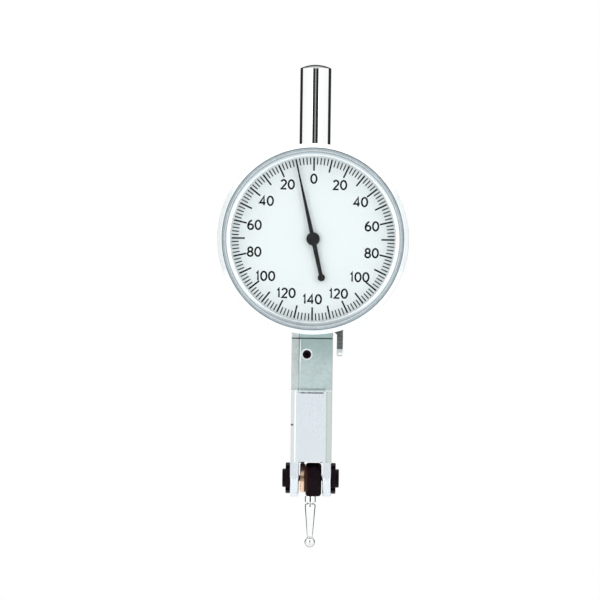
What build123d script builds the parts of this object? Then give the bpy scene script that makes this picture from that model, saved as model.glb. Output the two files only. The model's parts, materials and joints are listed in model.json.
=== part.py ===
"""Lever-type dial test indicator with a 6 mm stem, in millimetres.

+Z runs up the stem and the dial faces -Y. The origin is on the stem's centre line, halfway
along its parallel wall. A depth is measured forward from that centre line, towards the person
who reads the dial. A height is measured from the dial's axis.
"""

import os
from math import asin, atan2, cos, degrees, hypot, pi, radians, sin, sqrt

from build123d import *

# Fits that many pieces share
running_gap = 0.03
passing_gap = 0.1
overrun = 2.0

# Stem
stem_diameter = 6.0
stem_wall = 19.0
stem_dome = 0.7
stem_thread = 4.0
stem_thread_length = 4.6

# Body bar, with its fork at the lower end
body_width = 7.9
body_top_inset = 4.3
body_front = 4.5
seat_depth = 4.2
seat_margin = 0.65
groove_width = 0.2
groove_depth = 0.3
slope_length = 16.9
slope_depth = 4.15
slope_chamfer = 1.05
step_chamfer = 0.2
pivot_drop = 46.4
pivot_depth = -0.6
fork_radius = 3.65
fork_gap = 4.65
fork_roof = 3.2
fork_rounding = 0.4

# Side cover on the left, and the pocket behind it
cover_thickness = 1.5
cover_foot = 0.4
seam_chamfer = 0.15
wall = 1.55
pocket_ahead = 1.6
pocket_back = 2.4
pocket_foot = 1.2
chamber_radius = 4.6
slot_left = 2.2
slot_right = 0.4
slot_front = 1.6
slot_back = 2.4

# Dial case
bezel_band = 1.5
case_wall = 1.1
case_floor = 0.8
case_rim_gap = 0.25
window_half_width = 2.45
window_half_height = 3.5

# Bezel, crystal and dial
bezel_radius = 18.5
bezel_foot_gap = 1.4
bezel_foot_height = 0.8
bezel_bevel_height = 1.2
bezel_lip = 0.3
knurl_cut = 0.22
knurl_count = 72
bezel_rim_width = 0.8
bezel_step_width = 1.7
bezel_step_height = 0.25
bezel_ring_width = 2.4
crystal_clearance = 0.65
crystal_thickness = 1.0
crystal_dome = 0.35
crystal_ledge = 0.2
dial_clearance = 0.5
dial_thickness = 0.4
dial_hole_radius = 1.7
ring_lift = 1.0
ring_width = 0.5
ring_height = 0.6

# Pointer, at rest five of the dial's divisions left of its zero
pointer_angle = -360.0 / 140 * 5
pointer_margin = 0.5
pointer_root_width = 0.85
pointer_tip_width = 0.2
tail_reach = 7.65
tail_width = 0.9
tail_end_width = 0.7
counterweight_radius = 0.72
pointer_lift = 0.7
pointer_thickness = 0.2
hub_radius = 1.35
hub_bore = 0.4
hub_height = 0.75
hub_chamfer = 0.2

# Gear train: centre pinion and crown gear, then drive pinion and sector
centre_teeth = 12
crown_teeth = 48
crown_radius = 4.0
crown_face = 0.6
crown_web = 0.5
drive_teeth = 12
drive_module = 0.2
drive_face = 1.2
sector_share = 0.741
sector_first_tooth = -1
sector_teeth = 6
sector_thickness = 0.6
sector_left = 0.85
sector_rim = 1.1
sector_root_width = 1.9
sector_top_width = 1.3
sector_hub_radius = 1.1
tooth_height_share = 1.75
tooth_tip_share = 0.8
tooth_root_width_share = 0.46
tooth_tip_width_share = 0.20

# Travel: one turn of the pointer for 0.28 mm at the ball
pointer_travel = 385.0
travel_per_turn = 0.28
stylus_length = 12.45

# Arbors and bearings
arbor_radius = 0.4
arbor_pivot_radius = 0.22
arbor_pivot_length = 0.5
jewel_radius = 0.6
jewel_thickness = 0.5
front_jewel_radius = 0.9
cross_radius = 0.45
bush_radius = 1.0
bush_flange_radius = 1.15
bush_flange = 0.15
centre_pinion_behind = 0.55
centre_pinion_ahead = 0.6

# Movement bridge and rear cock inside the case
bridge_clearance = 0.6
bridge_thickness = 0.7
bridge_width = 4.4
bridge_inset = 8.0
post_radius = 1.5
cock_half_height = 0.95
cock_thickness = 0.6
cock_shelf = 0.5
cock_reach = 7.0
cock_web_left = 2.35
cock_end = 0.8
cock_foot_height = 3.4

# Hairspring
collet_radius = 0.8
collet_height = 0.6
hairspring_clearance = 0.2
hairspring_height = 0.35
hairspring_strip = 0.1
hairspring_start = 0.85
hairspring_pitch = 0.62
hairspring_turns = 5
stud_radius = 0.35

# Measuring lever and stylus
lever_disc_radius = 2.8
lever_disc_left = 2.04
lever_disc_thickness = 0.92
lever_arm_thickness = 0.7
lever_arm_width = 1.5
lever_sleeve_radius = 1.15
lever_half_width = 2.08
cup_radius = 0.45
cup_depth = 0.5
drive_pin_radius = 0.4
arm_end_radius = 0.75
washer_radius = 2.7
washer_thickness = 0.12
drum_radius = 3.0
drum_right = 2.09
drum_foot = 3.5
drum_foot_width = 3.8
drum_rounding = 0.6
stylus_thread_radius = 0.7
stylus_thread_length = 1.8
collar_radius = 1.05
collar_length = 1.2
neck_radius = 0.6
neck_length = 0.2
shoulder_length = 0.5
shank_end_radius = 0.52
ball_radius = 1.0

# Pivot screws and lock nuts at the fork
pivot_thread_radius = 1.2
pivot_nose_radius = 0.6
lock_nut_radius = 3.0
lock_nut_thickness = 0.9
lock_nut_slot = 0.9
lock_nut_slot_depth = 0.45
pivot_head_radius = 1.8
pivot_head_height = 0.64
driver_slot = 0.4
driver_slot_depth = 0.4
edge_break = 0.12

# Changeover lever on the right
changeover_depth = -0.2
changeover_drop = 10.5
changeover_turn = 15.0
changeover_shaft_radius = 0.8
changeover_boss_radius = 1.9
changeover_boss = 0.75
changeover_arm_width = 2.6
changeover_reach = 12.2
changeover_grip_length = 5.0
changeover_grip_thickness = 1.15
changeover_grip_offset = 0.85
serration_count = 6
serration_depth = 0.2
crank_radius = 1.6
crank_thickness = 0.8
crank_pin_radius = 0.3
crank_throw = 1.1
wire_radius = 0.12
wire_plane = 0.35
peg_radius = 0.3
peg_reach = 10.5
changeover_cap_radius = 1.1
changeover_cap_height = 0.4

# Screws
stop_screw_side = -0.97
stop_screw_below = 3.2
stop_screw_radius = 0.8
stop_screw_recess = 0.2
stop_sink_radius = 1.05
stop_socket_radius = 0.4
case_screw_side = 1.4
case_screw_top_inset = 1.8
case_screw_foot_inset = 2.4
small_head_radius = 1.0
small_head_height = 0.45
small_shank_radius = 0.6
small_shank_length = 1.3
cover_screw_radius = 0.45
cover_head_radius = 0.8
cover_head_height = 0.4
cover_screw_length = 2.6
lock_screw_radius = 0.8

# Worked out from the sizes above
case_radius = bezel_radius - bezel_band
bezel_face_radius = bezel_radius - bezel_rim_width
bezel_step_radius = bezel_radius - bezel_step_width
crystal_radius = bezel_radius - bezel_ring_width
dial_window_radius = crystal_radius - crystal_ledge
dial_radius = case_radius - passing_gap / 2
pointer_reach = crystal_radius - pointer_margin
bridge_reach = case_radius - bridge_inset
body_top = bezel_radius - body_top_inset
seat_drop = bezel_radius + seat_margin
slope_drop = pivot_drop - slope_length
stop_screw_drop = seat_drop + stop_screw_below
case_screw_upper = body_top - case_screw_top_inset
case_screw_lower = case_screw_foot_inset - case_radius
dial_z = -stem_wall / 2 - body_top
half_width = body_width / 2
body_back = -pivot_depth + fork_radius
cover_inside = half_width - cover_thickness
pocket_right = half_width - wall
pivot_z = dial_z - pivot_drop
case_inside = seat_depth + case_floor
crown_depth = case_inside - crown_radius
pocket_depth = crown_depth + pocket_ahead
centre_pinion_back = case_inside - centre_pinion_behind
centre_pinion_front = case_inside + centre_pinion_ahead
cock_shelf_depth = centre_pinion_back - passing_gap / 2 - cock_shelf
hairspring_depth = case_inside + cock_thickness + small_head_height + hairspring_clearance
bridge_depth = hairspring_depth + hairspring_height + bridge_clearance
dial_back = bridge_depth + bridge_thickness + small_head_height + dial_clearance
case_rim_depth = dial_back - case_rim_gap
dial_lip_depth = dial_back + dial_thickness
pointer_depth = dial_lip_depth + pointer_lift
crystal_depth = pointer_depth + pointer_thickness + crystal_clearance
bezel_back_depth = seat_depth + bezel_foot_gap
ring_depth = bezel_back_depth + ring_lift
bezel_knurl_back = bezel_back_depth + bezel_foot_height
bezel_front_depth = crystal_depth + crystal_thickness + bezel_lip
bezel_knurl_front = bezel_front_depth - bezel_bevel_height
slope_foot = pivot_depth + fork_radius
line_tilt = atan2(crown_depth - pivot_depth, pivot_drop)
pivot_distance = hypot(crown_depth - pivot_depth, pivot_drop)
sector_distance = sector_share * pivot_distance
pocket_drop = sector_distance + pocket_foot
cover_drop = pocket_drop + cover_foot
centre_radius = crown_radius * centre_teeth / crown_teeth
crown_module = 2 * crown_radius / crown_teeth
drive_radius = drive_module * drive_teeth / 2
sector_radius = sector_distance - drive_radius
crown_travel = pointer_travel * centre_teeth / crown_teeth
sector_travel = crown_travel * drive_radius / sector_radius
lever_per_turn = degrees(travel_per_turn / stylus_length)
lever_travel = lever_per_turn * pointer_travel / 360
arm_ratio = sector_travel / lever_travel
short_arm = (pivot_distance - sector_distance) / (1 + arm_ratio)
long_arm = pivot_distance - sector_distance - short_arm

stylus_pivot = (-pivot_depth, pivot_z)
crown_centre = (-crown_depth, dial_z)
sector_pivot = (
    crown_centre[0] + sector_distance * sin(line_tilt),
    crown_centre[1] - sector_distance * cos(line_tilt),
)
changeover_pivot = (-changeover_depth, dial_z - changeover_drop)


def side(x):
    """The plane across the body at x, seen from the left: depth to the right, height up."""
    return Plane(origin=(x, 0, dial_z), x_dir=(0, -1, 0), z_dir=(-1, 0, 0))


def facing(depth, turn=0.0):
    """The plane parallel to the dial at a depth, turned clockwise as the reader sees it."""
    a = radians(turn)
    return Plane(origin=(0, -depth, dial_z), x_dir=(cos(a), 0, -sin(a)), z_dir=(0, -1, 0))


def train(x, point, turn=0.0):
    """The plane across the body at x through a pivot, Y up the line of pivots, turned about X."""
    a = line_tilt + radians(turn)
    return Plane(origin=(x, *point), x_dir=(0, cos(a), sin(a)), z_dir=(1, 0, 0))


def lengthways(point):
    """The plane in which a cross shaft's profile is drawn: x along the shaft, y its radius."""
    return Plane(origin=(0, *point), x_dir=(1, 0, 0), z_dir=(0, 0, 1))


def cross_axis(point):
    """The left-to-right axis through a pivot."""
    return Axis((0, *point), (1, 0, 0))


def from_left(x, point):
    """A plane that faces left at x, for holes drilled from the left."""
    return Plane(origin=(x, *point), x_dir=(0, 1, 0), z_dir=(-1, 0, 0))


def from_right(x, point):
    """A plane that faces right at x, for holes drilled from the right."""
    return Plane(origin=(x, *point), x_dir=(0, 1, 0), z_dir=(1, 0, 0))


dial_profile = Plane(origin=(0, 0, dial_z), x_dir=(1, 0, 0), z_dir=(0, 0, -1))
dial_axis = Axis((0, 0, dial_z), (0, 1, 0))
stem_profile = Plane.XZ


def side_outline(x, foot=-2 * pivot_drop):
    """The bar's outline seen from the left, from a foot upwards: round fork end, sloping front."""
    with BuildSketch(side(x)) as outline:
        with BuildLine():
            Polyline(
                (slope_foot, -pivot_drop),
                (slope_depth, -slope_drop),
                (body_front - step_chamfer, -slope_drop),
                (body_front, step_chamfer - slope_drop),
                (body_front, -seat_drop),
                (seat_depth, -seat_drop),
                (seat_depth, body_top),
                (-body_back, body_top),
                (-body_back, -pivot_drop),
            )
            CenterArc((pivot_depth, -pivot_drop), fork_radius, 180, 180)
        make_face()
        with Locations((seat_depth, -seat_drop)):
            Rectangle(
                2 * groove_depth, groove_width, align=(Align.CENTER, Align.MAX), mode=Mode.SUBTRACT
            )
        with Locations((0, foot)):
            Rectangle(
                4 * body_front,
                body_top - foot,
                align=(Align.CENTER, Align.MIN),
                mode=Mode.INTERSECT,
            )
    return outline.sketch


def tooth(root, module):
    """The corners of one flat-sided gear tooth that stands on a root circle, pointing along X."""
    pitch = pi * module
    height = tooth_height_share * module
    sunk = root * (1 - cos(asin(tooth_root_width_share * pitch / 2 / root))) + height / 10
    low, high = tooth_root_width_share * pitch / 2, tooth_tip_width_share * pitch / 2
    return [(-sunk, -low), (0, -low), (height, -high), (height, high), (0, low), (-sunk, low)]


def root_of(pitch_radius, module):
    """The root radius that leaves the tooth its share above the pitch circle."""
    return pitch_radius - (tooth_height_share - tooth_tip_share) * module


def slotted_screw(head_radius, head_height, shank_radius, shank_length):
    """A cheese-head screw that stands on the XY plane with its slotted head up."""
    with BuildPart() as screw:
        with BuildSketch():
            Circle(head_radius)
        extrude(amount=head_height)
        chamfer(screw.faces().sort_by(Axis.Z)[-1].edges(), edge_break)
        with BuildSketch():
            Circle(shank_radius)
        extrude(amount=-shank_length)
        with BuildSketch(Plane.XY.offset(head_height)):
            Rectangle(3 * head_radius, driver_slot)
        extrude(amount=-head_height / 2, mode=Mode.SUBTRACT)
    return screw.part


def countersunk_screw(head_radius, head_height, shank_radius, shank_length):
    """A countersunk screw whose slotted head lies flush with the XY plane."""
    with BuildPart() as screw:
        with BuildSketch(Plane.XZ):
            with BuildLine():
                Polyline(
                    (0, 0),
                    (head_radius, 0),
                    (shank_radius, -head_height),
                    (shank_radius, -shank_length),
                    (0, -shank_length),
                    close=True,
                )
            make_face()
        revolve(axis=Axis.Z)
        with BuildSketch():
            Rectangle(3 * head_radius, driver_slot)
        extrude(amount=-head_height / 2, mode=Mode.SUBTRACT)
    return screw.part


# Stem, with a domed end and a threaded foot in the top of the bar

stem_radius = stem_diameter / 2
stem_foot = -stem_wall / 2
with BuildPart() as stem:
    with BuildSketch(stem_profile):
        with BuildLine():
            Polyline(
                (0, stem_wall / 2 + stem_dome),
                (0, stem_foot - stem_thread_length),
                (stem_thread / 2, stem_foot - stem_thread_length),
                (stem_thread / 2, stem_foot),
                (stem_radius, stem_foot),
                (stem_radius, stem_wall / 2),
            )
            TangentArc(
                (0, stem_wall / 2 + stem_dome), (stem_radius, stem_wall / 2), tangent=(1, 0)
            )
        make_face()
    revolve(axis=Axis.Z)

# Body bar

bar_outline = side_outline(half_width)
stop_place = Plane(
    origin=(stop_screw_side, -body_front, dial_z - stop_screw_drop), x_dir=(1, 0, 0), z_dir=(0, -1, 0)
)
lock_place = Plane(
    origin=(0, body_back, stem_foot - stem_thread_length / 2), x_dir=(1, 0, 0), z_dir=(0, 1, 0)
)
cover_screw_points = [
    (body_back - (body_back - pocket_back) / 2, dial_z + chamber_radius + 3 * cover_screw_radius),
    (-(body_front + pocket_depth) / 2, dial_z - (stop_screw_drop + slope_drop) / 2),
    ((body_back + pocket_back) / 2, dial_z - pocket_drop + 2 * cover_head_radius),
]
case_screw_spots = [
    (x, height) for height in (case_screw_upper, case_screw_lower) for x in (-case_screw_side, case_screw_side)
]

# Bevels down both edges of the sloping front, from the step to the lock nuts
slope_way = (0, (slope_depth - slope_foot) / slope_length, -1)
with BuildSketch(Plane(origin=(0, -slope_depth, dial_z - slope_drop), z_dir=(0, 0, -1))) as bevels:
    with BuildLine():
        Polyline(
            (half_width + slope_chamfer, slope_chamfer),
            (half_width - 2 * slope_chamfer, slope_chamfer),
            (half_width + slope_chamfer, -2 * slope_chamfer),
            close=True,
        )
    make_face()
    mirror(about=Plane.YZ)
bevel_length = slope_length - lock_nut_radius

with BuildPart() as body_frame:
    extrude(bar_outline, amount=body_width)
    extrude(bevels.sketch, amount=bevel_length, dir=slope_way, mode=Mode.SUBTRACT)
    with BuildSketch(facing(0)):
        with Locations((0, fork_roof - pivot_drop)):
            Rectangle(fork_gap, fork_roof + fork_radius + overrun, align=(Align.CENTER, Align.MAX))
    extrude(amount=body_front + overrun, both=True, mode=Mode.SUBTRACT)
    with BuildSketch(lengthways(stylus_pivot)):
        for edge, inward in ((half_width, -fork_rounding), (fork_gap / 2, fork_rounding)):
            for way in (-1, 1):
                with Locations((way * edge, -fork_radius)):
                    Rectangle(2 * fork_rounding, 2 * fork_rounding)
                with Locations((way * (edge + inward), fork_rounding - fork_radius)):
                    Circle(fork_rounding, mode=Mode.SUBTRACT)
    revolve(axis=cross_axis(stylus_pivot), revolution_arc=180, mode=Mode.SUBTRACT)
    with BuildSketch(side(-cover_inside)):
        with Locations((0, -cover_drop)):
            Rectangle(
                4 * body_front, cover_drop + body_top + overrun, align=(Align.CENTER, Align.MIN)
            )
    extrude(amount=cover_thickness + overrun, mode=Mode.SUBTRACT)
    with BuildSketch(side(pocket_right)):
        with BuildLine():
            Polyline(
                (pocket_depth, -pocket_drop + (pocket_depth + pocket_back) / 2),
                (pocket_depth, 0),
                (-pocket_back, 0),
                (-pocket_back, -pocket_drop + (pocket_depth + pocket_back) / 2),
            )
            ThreePointArc(
                (-pocket_back, -pocket_drop + (pocket_depth + pocket_back) / 2),
                ((pocket_depth - pocket_back) / 2, -pocket_drop),
                (pocket_depth, -pocket_drop + (pocket_depth + pocket_back) / 2),
            )
        make_face()
        with Locations((crown_depth, 0)):
            Circle(chamber_radius)
    extrude(amount=pocket_right + half_width, mode=Mode.SUBTRACT)
    with BuildSketch(Plane.XY.offset(pivot_z + fork_roof - passing_gap)):
        with Locations((-slot_left, -slot_front)):
            Rectangle(
                slot_left + slot_right, slot_front + slot_back, align=(Align.MIN, Align.MIN)
            )
    extrude(amount=pivot_drop - fork_roof - pocket_drop + 2 * sector_hub_radius, mode=Mode.SUBTRACT)
    with Locations(Plane(origin=(0, 0, stem_foot), z_dir=(0, 0, 1))):
        Hole(stem_thread / 2, stem_thread_length)
    with Locations(from_right(half_width, stylus_pivot), from_left(-half_width, stylus_pivot)):
        Hole(pivot_thread_radius, (body_width - fork_gap) / 2 + passing_gap)
    with Locations(from_left(pocket_right, crown_centre)):
        Hole(jewel_radius, jewel_thickness)
    with Locations(from_left(pocket_right, sector_pivot)):
        Hole(bush_radius, wall - passing_gap)
    with Locations(from_right(half_width, changeover_pivot)):
        Hole(changeover_shaft_radius + running_gap, wall + passing_gap)
    with Locations(stop_place):
        CounterSinkHole(stop_screw_radius, stop_sink_radius, body_front - pocket_depth + passing_gap)
    with Locations(lock_place):
        Hole(lock_screw_radius, body_back - stem_thread / 2)
    with Locations(*[facing(seat_depth) * Location((x, height, 0)) for x, height in case_screw_spots]):
        Hole(small_shank_radius, small_shank_length)
    with Locations(*[from_left(-cover_inside, point) for point in cover_screw_points]):
        Hole(cover_screw_radius, cover_screw_length - cover_thickness)
    seam = body_frame.edges().filter_by(Axis.Z).filter_by_position(
        Axis.X, -cover_inside - passing_gap, -cover_inside + passing_gap
    )
    chamfer(seam.group_by(Axis.Y)[0], seam_chamfer)

# Side cover, flush with the bar all round

cover_outline = side_outline(-cover_inside, foot=-cover_drop)
with BuildPart() as side_cover:
    extrude(cover_outline, amount=cover_thickness)
    extrude(bevels.sketch, amount=bevel_length, dir=slope_way, mode=Mode.SUBTRACT)
    seam = side_cover.edges().filter_by(Axis.Z).filter_by_position(
        Axis.X, -cover_inside - passing_gap, -cover_inside + passing_gap
    )
    chamfer(seam.group_by(Axis.Y)[0], seam_chamfer)
    chamfer(side_cover.edges().group_by(Axis.Z)[0].sort_by(Axis.X)[0], seam_chamfer)
    with Locations(from_right(-cover_inside, crown_centre)):
        Hole(jewel_radius, jewel_thickness)
    with Locations(from_right(-cover_inside, sector_pivot)):
        Hole(bush_radius, cover_thickness - passing_gap)
    with Locations(*[from_left(-half_width, point) for point in cover_screw_points]):
        CounterSinkHole(cover_screw_radius, cover_head_radius, cover_thickness)

cover_screw = countersunk_screw(
    cover_head_radius, cover_head_height, cover_screw_radius, cover_screw_length
)
with BuildPart() as side_cover_screws:
    with Locations(*[from_left(-half_width, point) for point in cover_screw_points]):
        add(cover_screw)

# Grub screws: the lever's front stop, and the one that locks the stem

lean = sector_travel / 2
blade_at_stop = stop_screw_drop * cos(line_tilt) + crown_depth * sin(line_tilt)
stop_arm = sector_distance - blade_at_stop
blade_turn = line_tilt + radians(lean)
blade_half = (
    sector_root_width + (sector_top_width - sector_root_width) * stop_arm / sector_radius
) / 2
stop_tip_depth = -sector_pivot[0] + stop_arm * sin(blade_turn) + blade_half + passing_gap


def grub_screw(radius, length):
    """A headless screw with a hexagon socket, its mouth on the XY plane."""
    with BuildPart() as screw:
        with BuildSketch():
            Circle(radius)
            RegularPolygon(stop_socket_radius, 6, mode=Mode.SUBTRACT)
        extrude(amount=-length / 2)
        with BuildSketch(Plane.XY.offset(-length / 2)):
            Circle(radius)
        extrude(amount=-length / 2)
    return screw.part


stop_length = body_front - stop_screw_recess - stop_tip_depth
stop_body = grub_screw(stop_screw_radius, stop_length)
with BuildPart() as stop_screw:
    with Locations(stop_place.offset(-stop_screw_recess)):
        add(stop_body)

lock_length = body_back - stem_thread / 2 - stop_screw_recess
lock_body = grub_screw(lock_screw_radius, lock_length)
with BuildPart() as stem_lock_screw:
    with Locations(lock_place.offset(-stop_screw_recess)):
        add(lock_body)

# Dial case: a shallow cup screwed to the seat on the bar

ring_groove = case_radius - ring_width / 2
cock_screw_side = -(cock_reach + cock_web_left) / 2
with BuildPart() as dial_case:
    with BuildSketch(dial_profile):
        with BuildLine():
            Polyline(
                (0, seat_depth),
                (case_radius - 3 * edge_break, seat_depth),
                (case_radius, seat_depth + 3 * edge_break),
                (case_radius, ring_depth - running_gap),
                (ring_groove, ring_depth - running_gap),
                (ring_groove, ring_depth + ring_height + running_gap),
                (case_radius, ring_depth + ring_height + running_gap),
                (case_radius, case_rim_depth),
                (case_radius - case_wall, case_rim_depth),
                (case_radius - case_wall, seat_depth + case_floor),
                (0, seat_depth + case_floor),
                close=True,
            )
        make_face()
    revolve(axis=dial_axis)
    with BuildSketch(facing(seat_depth)):
        Rectangle(2 * window_half_width, 2 * window_half_height)
    extrude(amount=2 * case_floor, mode=Mode.SUBTRACT)
    with Locations(
        *[facing(seat_depth + case_floor) * Location((x, height, 0)) for x, height in case_screw_spots]
    ):
        Hole(small_shank_radius + running_gap, case_floor)
    with Locations(
        *[facing(seat_depth + case_floor) * Location((0, way * bridge_reach, 0)) for way in (-1, 1)]
    ):
        Hole(small_shank_radius, case_floor)
    with Locations(facing(seat_depth + case_floor) * Location((cock_screw_side, 0, 0))):
        Hole(small_shank_radius, case_floor / 2)

case_screw = slotted_screw(
    small_head_radius, small_head_height, small_shank_radius, small_shank_length + case_floor
)
with BuildPart() as case_screws:
    with Locations(
        *[facing(seat_depth + case_floor) * Location((x, height, 0)) for x, height in case_screw_spots]
    ):
        add(case_screw)

# Bezel: knurled band, satin face with a step, lip over the dial, and its spring ring

bezel_bore = case_radius + running_gap * 2
ring_seat = case_radius + ring_width / 2 + running_gap
with BuildPart() as bezel:
    with BuildSketch(dial_profile):
        with BuildLine():
            Polyline(
                (bezel_bore, bezel_back_depth),
                (bezel_radius - 3 * edge_break, bezel_back_depth),
                (bezel_radius - 3 * edge_break, bezel_knurl_back - 2 * edge_break),
                (bezel_radius, bezel_knurl_back),
                (bezel_radius, bezel_knurl_front),
                (bezel_face_radius, bezel_front_depth),
                (bezel_step_radius, bezel_front_depth),
                (bezel_step_radius, bezel_front_depth - bezel_step_height),
                (crystal_radius, bezel_front_depth - 2 * bezel_step_height),
                (crystal_radius, crystal_depth),
                (dial_window_radius, crystal_depth),
                (dial_window_radius, dial_lip_depth),
                (bezel_bore, dial_lip_depth),
                (bezel_bore, ring_depth + ring_height + running_gap),
                (ring_seat, ring_depth + ring_height + running_gap),
                (ring_seat, ring_depth - running_gap),
                (bezel_bore, ring_depth - running_gap),
                close=True,
            )
        make_face()
    revolve(axis=dial_axis)
    with BuildSketch(facing(bezel_back_depth)):
        with PolarLocations(bezel_radius, knurl_count):
            RegularPolygon(knurl_cut, 4, rotation=45)
    extrude(amount=bezel_front_depth - bezel_back_depth, mode=Mode.SUBTRACT)

with BuildPart() as bezel_spring:
    with BuildSketch(facing(ring_depth)):
        Circle(case_radius + ring_width / 2)
        Circle(ring_groove, mode=Mode.SUBTRACT)
        with Locations((0, -case_radius)):
            Rectangle(2 * ring_height, 2 * ring_height, mode=Mode.SUBTRACT)
    extrude(amount=ring_height)

with BuildPart() as crystal:
    with BuildSketch(dial_profile):
        with BuildLine():
            Polyline(
                (0, crystal_depth + crystal_thickness + crystal_dome),
                (0, crystal_depth),
                (crystal_radius, crystal_depth),
                (crystal_radius, crystal_depth + crystal_thickness - bezel_step_height),
            )
            TangentArc(
                (0, crystal_depth + crystal_thickness + crystal_dome),
                (crystal_radius, crystal_depth + crystal_thickness - bezel_step_height),
                tangent=(1, 0),
            )
        make_face()
    revolve(axis=dial_axis)

with BuildPart() as dial_plate:
    with BuildSketch(facing(dial_lip_depth)):
        Circle(dial_radius)
        Circle(dial_hole_radius, mode=Mode.SUBTRACT)
    extrude(amount=-dial_thickness)

# Pointer with its tail and counterweight, and the hub that grips the arbor

with BuildPart() as pointer:
    with BuildSketch(facing(pointer_depth, pointer_angle)):
        with BuildLine():
            Polyline(
                (-pointer_root_width / 2, 0),
                (-pointer_tip_width / 2, pointer_reach),
                (pointer_tip_width / 2, pointer_reach),
                (pointer_root_width / 2, 0),
                (tail_width / 2, -hub_radius / 2),
                (tail_end_width / 2, -tail_reach),
                (-tail_end_width / 2, -tail_reach),
                (-tail_width / 2, -hub_radius / 2),
                close=True,
            )
        make_face()
        with Locations((0, -tail_reach)):
            Circle(counterweight_radius)
        Circle(hub_radius * 2 / 3)
        Circle(hub_bore, mode=Mode.SUBTRACT)
    extrude(amount=pointer_thickness)

hub_back = pointer_depth - hub_height / 2
with BuildPart() as pointer_hub:
    with BuildSketch(facing(hub_back)):
        Circle(hub_radius)
    extrude(amount=hub_height)
    chamfer(pointer_hub.edges().group_by(Axis.Y)[0], hub_chamfer)
    with Locations(facing(hub_back + hub_height / 2)):
        Hole(hub_bore, hub_height)
    extrude(
        pointer.part.faces().sort_by(Axis.Y)[-1], amount=-pointer_thickness, mode=Mode.SUBTRACT
    )

# Centre arbor with its pinion, turned on the dial's axis

arbor_front = pointer_depth + hub_height / 4
centre_root = root_of(centre_radius, crown_module)
with BuildPart() as centre_arbor:
    with BuildSketch(dial_profile):
        with BuildLine():
            Polyline(
                (0, centre_pinion_back - arbor_pivot_length),
                (arbor_pivot_radius, centre_pinion_back - arbor_pivot_length),
                (arbor_pivot_radius, centre_pinion_back),
                (arbor_radius, centre_pinion_back),
                (arbor_radius, arbor_front),
                (0, arbor_front),
                close=True,
            )
        make_face()
    revolve(axis=dial_axis)
    with BuildSketch(facing(centre_pinion_back)):
        Circle(centre_root)
        with PolarLocations(centre_root, centre_teeth):
            Polygon(*tooth(centre_root, crown_module), align=None)
    extrude(amount=centre_pinion_front - centre_pinion_back)

# Crown gear: flat-sided teeth that stand on a web and mesh with the centre pinion

crown_root_x = centre_radius + (tooth_height_share - tooth_tip_share) * crown_module
crown_pitch_angle = 360.0 / crown_teeth
crown_tooth_places = []
for index in range(crown_teeth):
    angle = radians((index + 0.5) * crown_pitch_angle)
    outward = Vector(0, -cos(angle), sin(angle))
    inner = Vector(crown_root_x, *crown_centre) + outward * (crown_radius - crown_face / 2)
    crown_tooth_places.append(Plane(origin=inner, x_dir=(-1, 0, 0), z_dir=outward))

with BuildPart() as crown_gear:
    with BuildSketch(train(crown_root_x, crown_centre)):
        Circle(crown_radius + crown_face / 2 + edge_break)
        Circle(cross_radius, mode=Mode.SUBTRACT)
        with PolarLocations((crown_radius + cross_radius) / 2, 5, start_angle=90):
            Circle(crown_radius / 4, mode=Mode.SUBTRACT)
    extrude(amount=crown_web)
    with BuildSketch(*crown_tooth_places):
        Polygon(*tooth(2 * crown_radius, crown_module), align=None)
    extrude(amount=crown_face)

# Cross arbor that carries the crown gear, with the drive pinion cut in it

drive_root = root_of(drive_radius, drive_module)
drive_left = sector_left + (drive_face - sector_thickness) / 2
cross_end = cover_inside - passing_gap / 2
with BuildPart() as crown_arbor:
    with BuildSketch(lengthways(crown_centre)):
        with BuildLine():
            Polyline(
                (-cover_inside - arbor_pivot_length, 0),
                (-cover_inside - arbor_pivot_length, arbor_pivot_radius),
                (-cross_end, arbor_pivot_radius),
                (-cross_end, cross_radius),
                (pocket_right - passing_gap, cross_radius),
                (pocket_right - passing_gap, arbor_pivot_radius),
                (pocket_right + arbor_pivot_length, arbor_pivot_radius),
                (pocket_right + arbor_pivot_length, 0),
                close=True,
            )
        make_face()
    revolve(axis=cross_axis(crown_centre))
    with BuildSketch(train(-drive_left, crown_centre)):
        Circle(drive_root)
        with PolarLocations(drive_root, drive_teeth, start_angle=-90 + 180 / drive_teeth):
            Polygon(*tooth(drive_root, drive_module), align=None)
    extrude(amount=drive_face)

# Sector lever: rim with teeth, tapered blade, hub, and the slotted short arm

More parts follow.
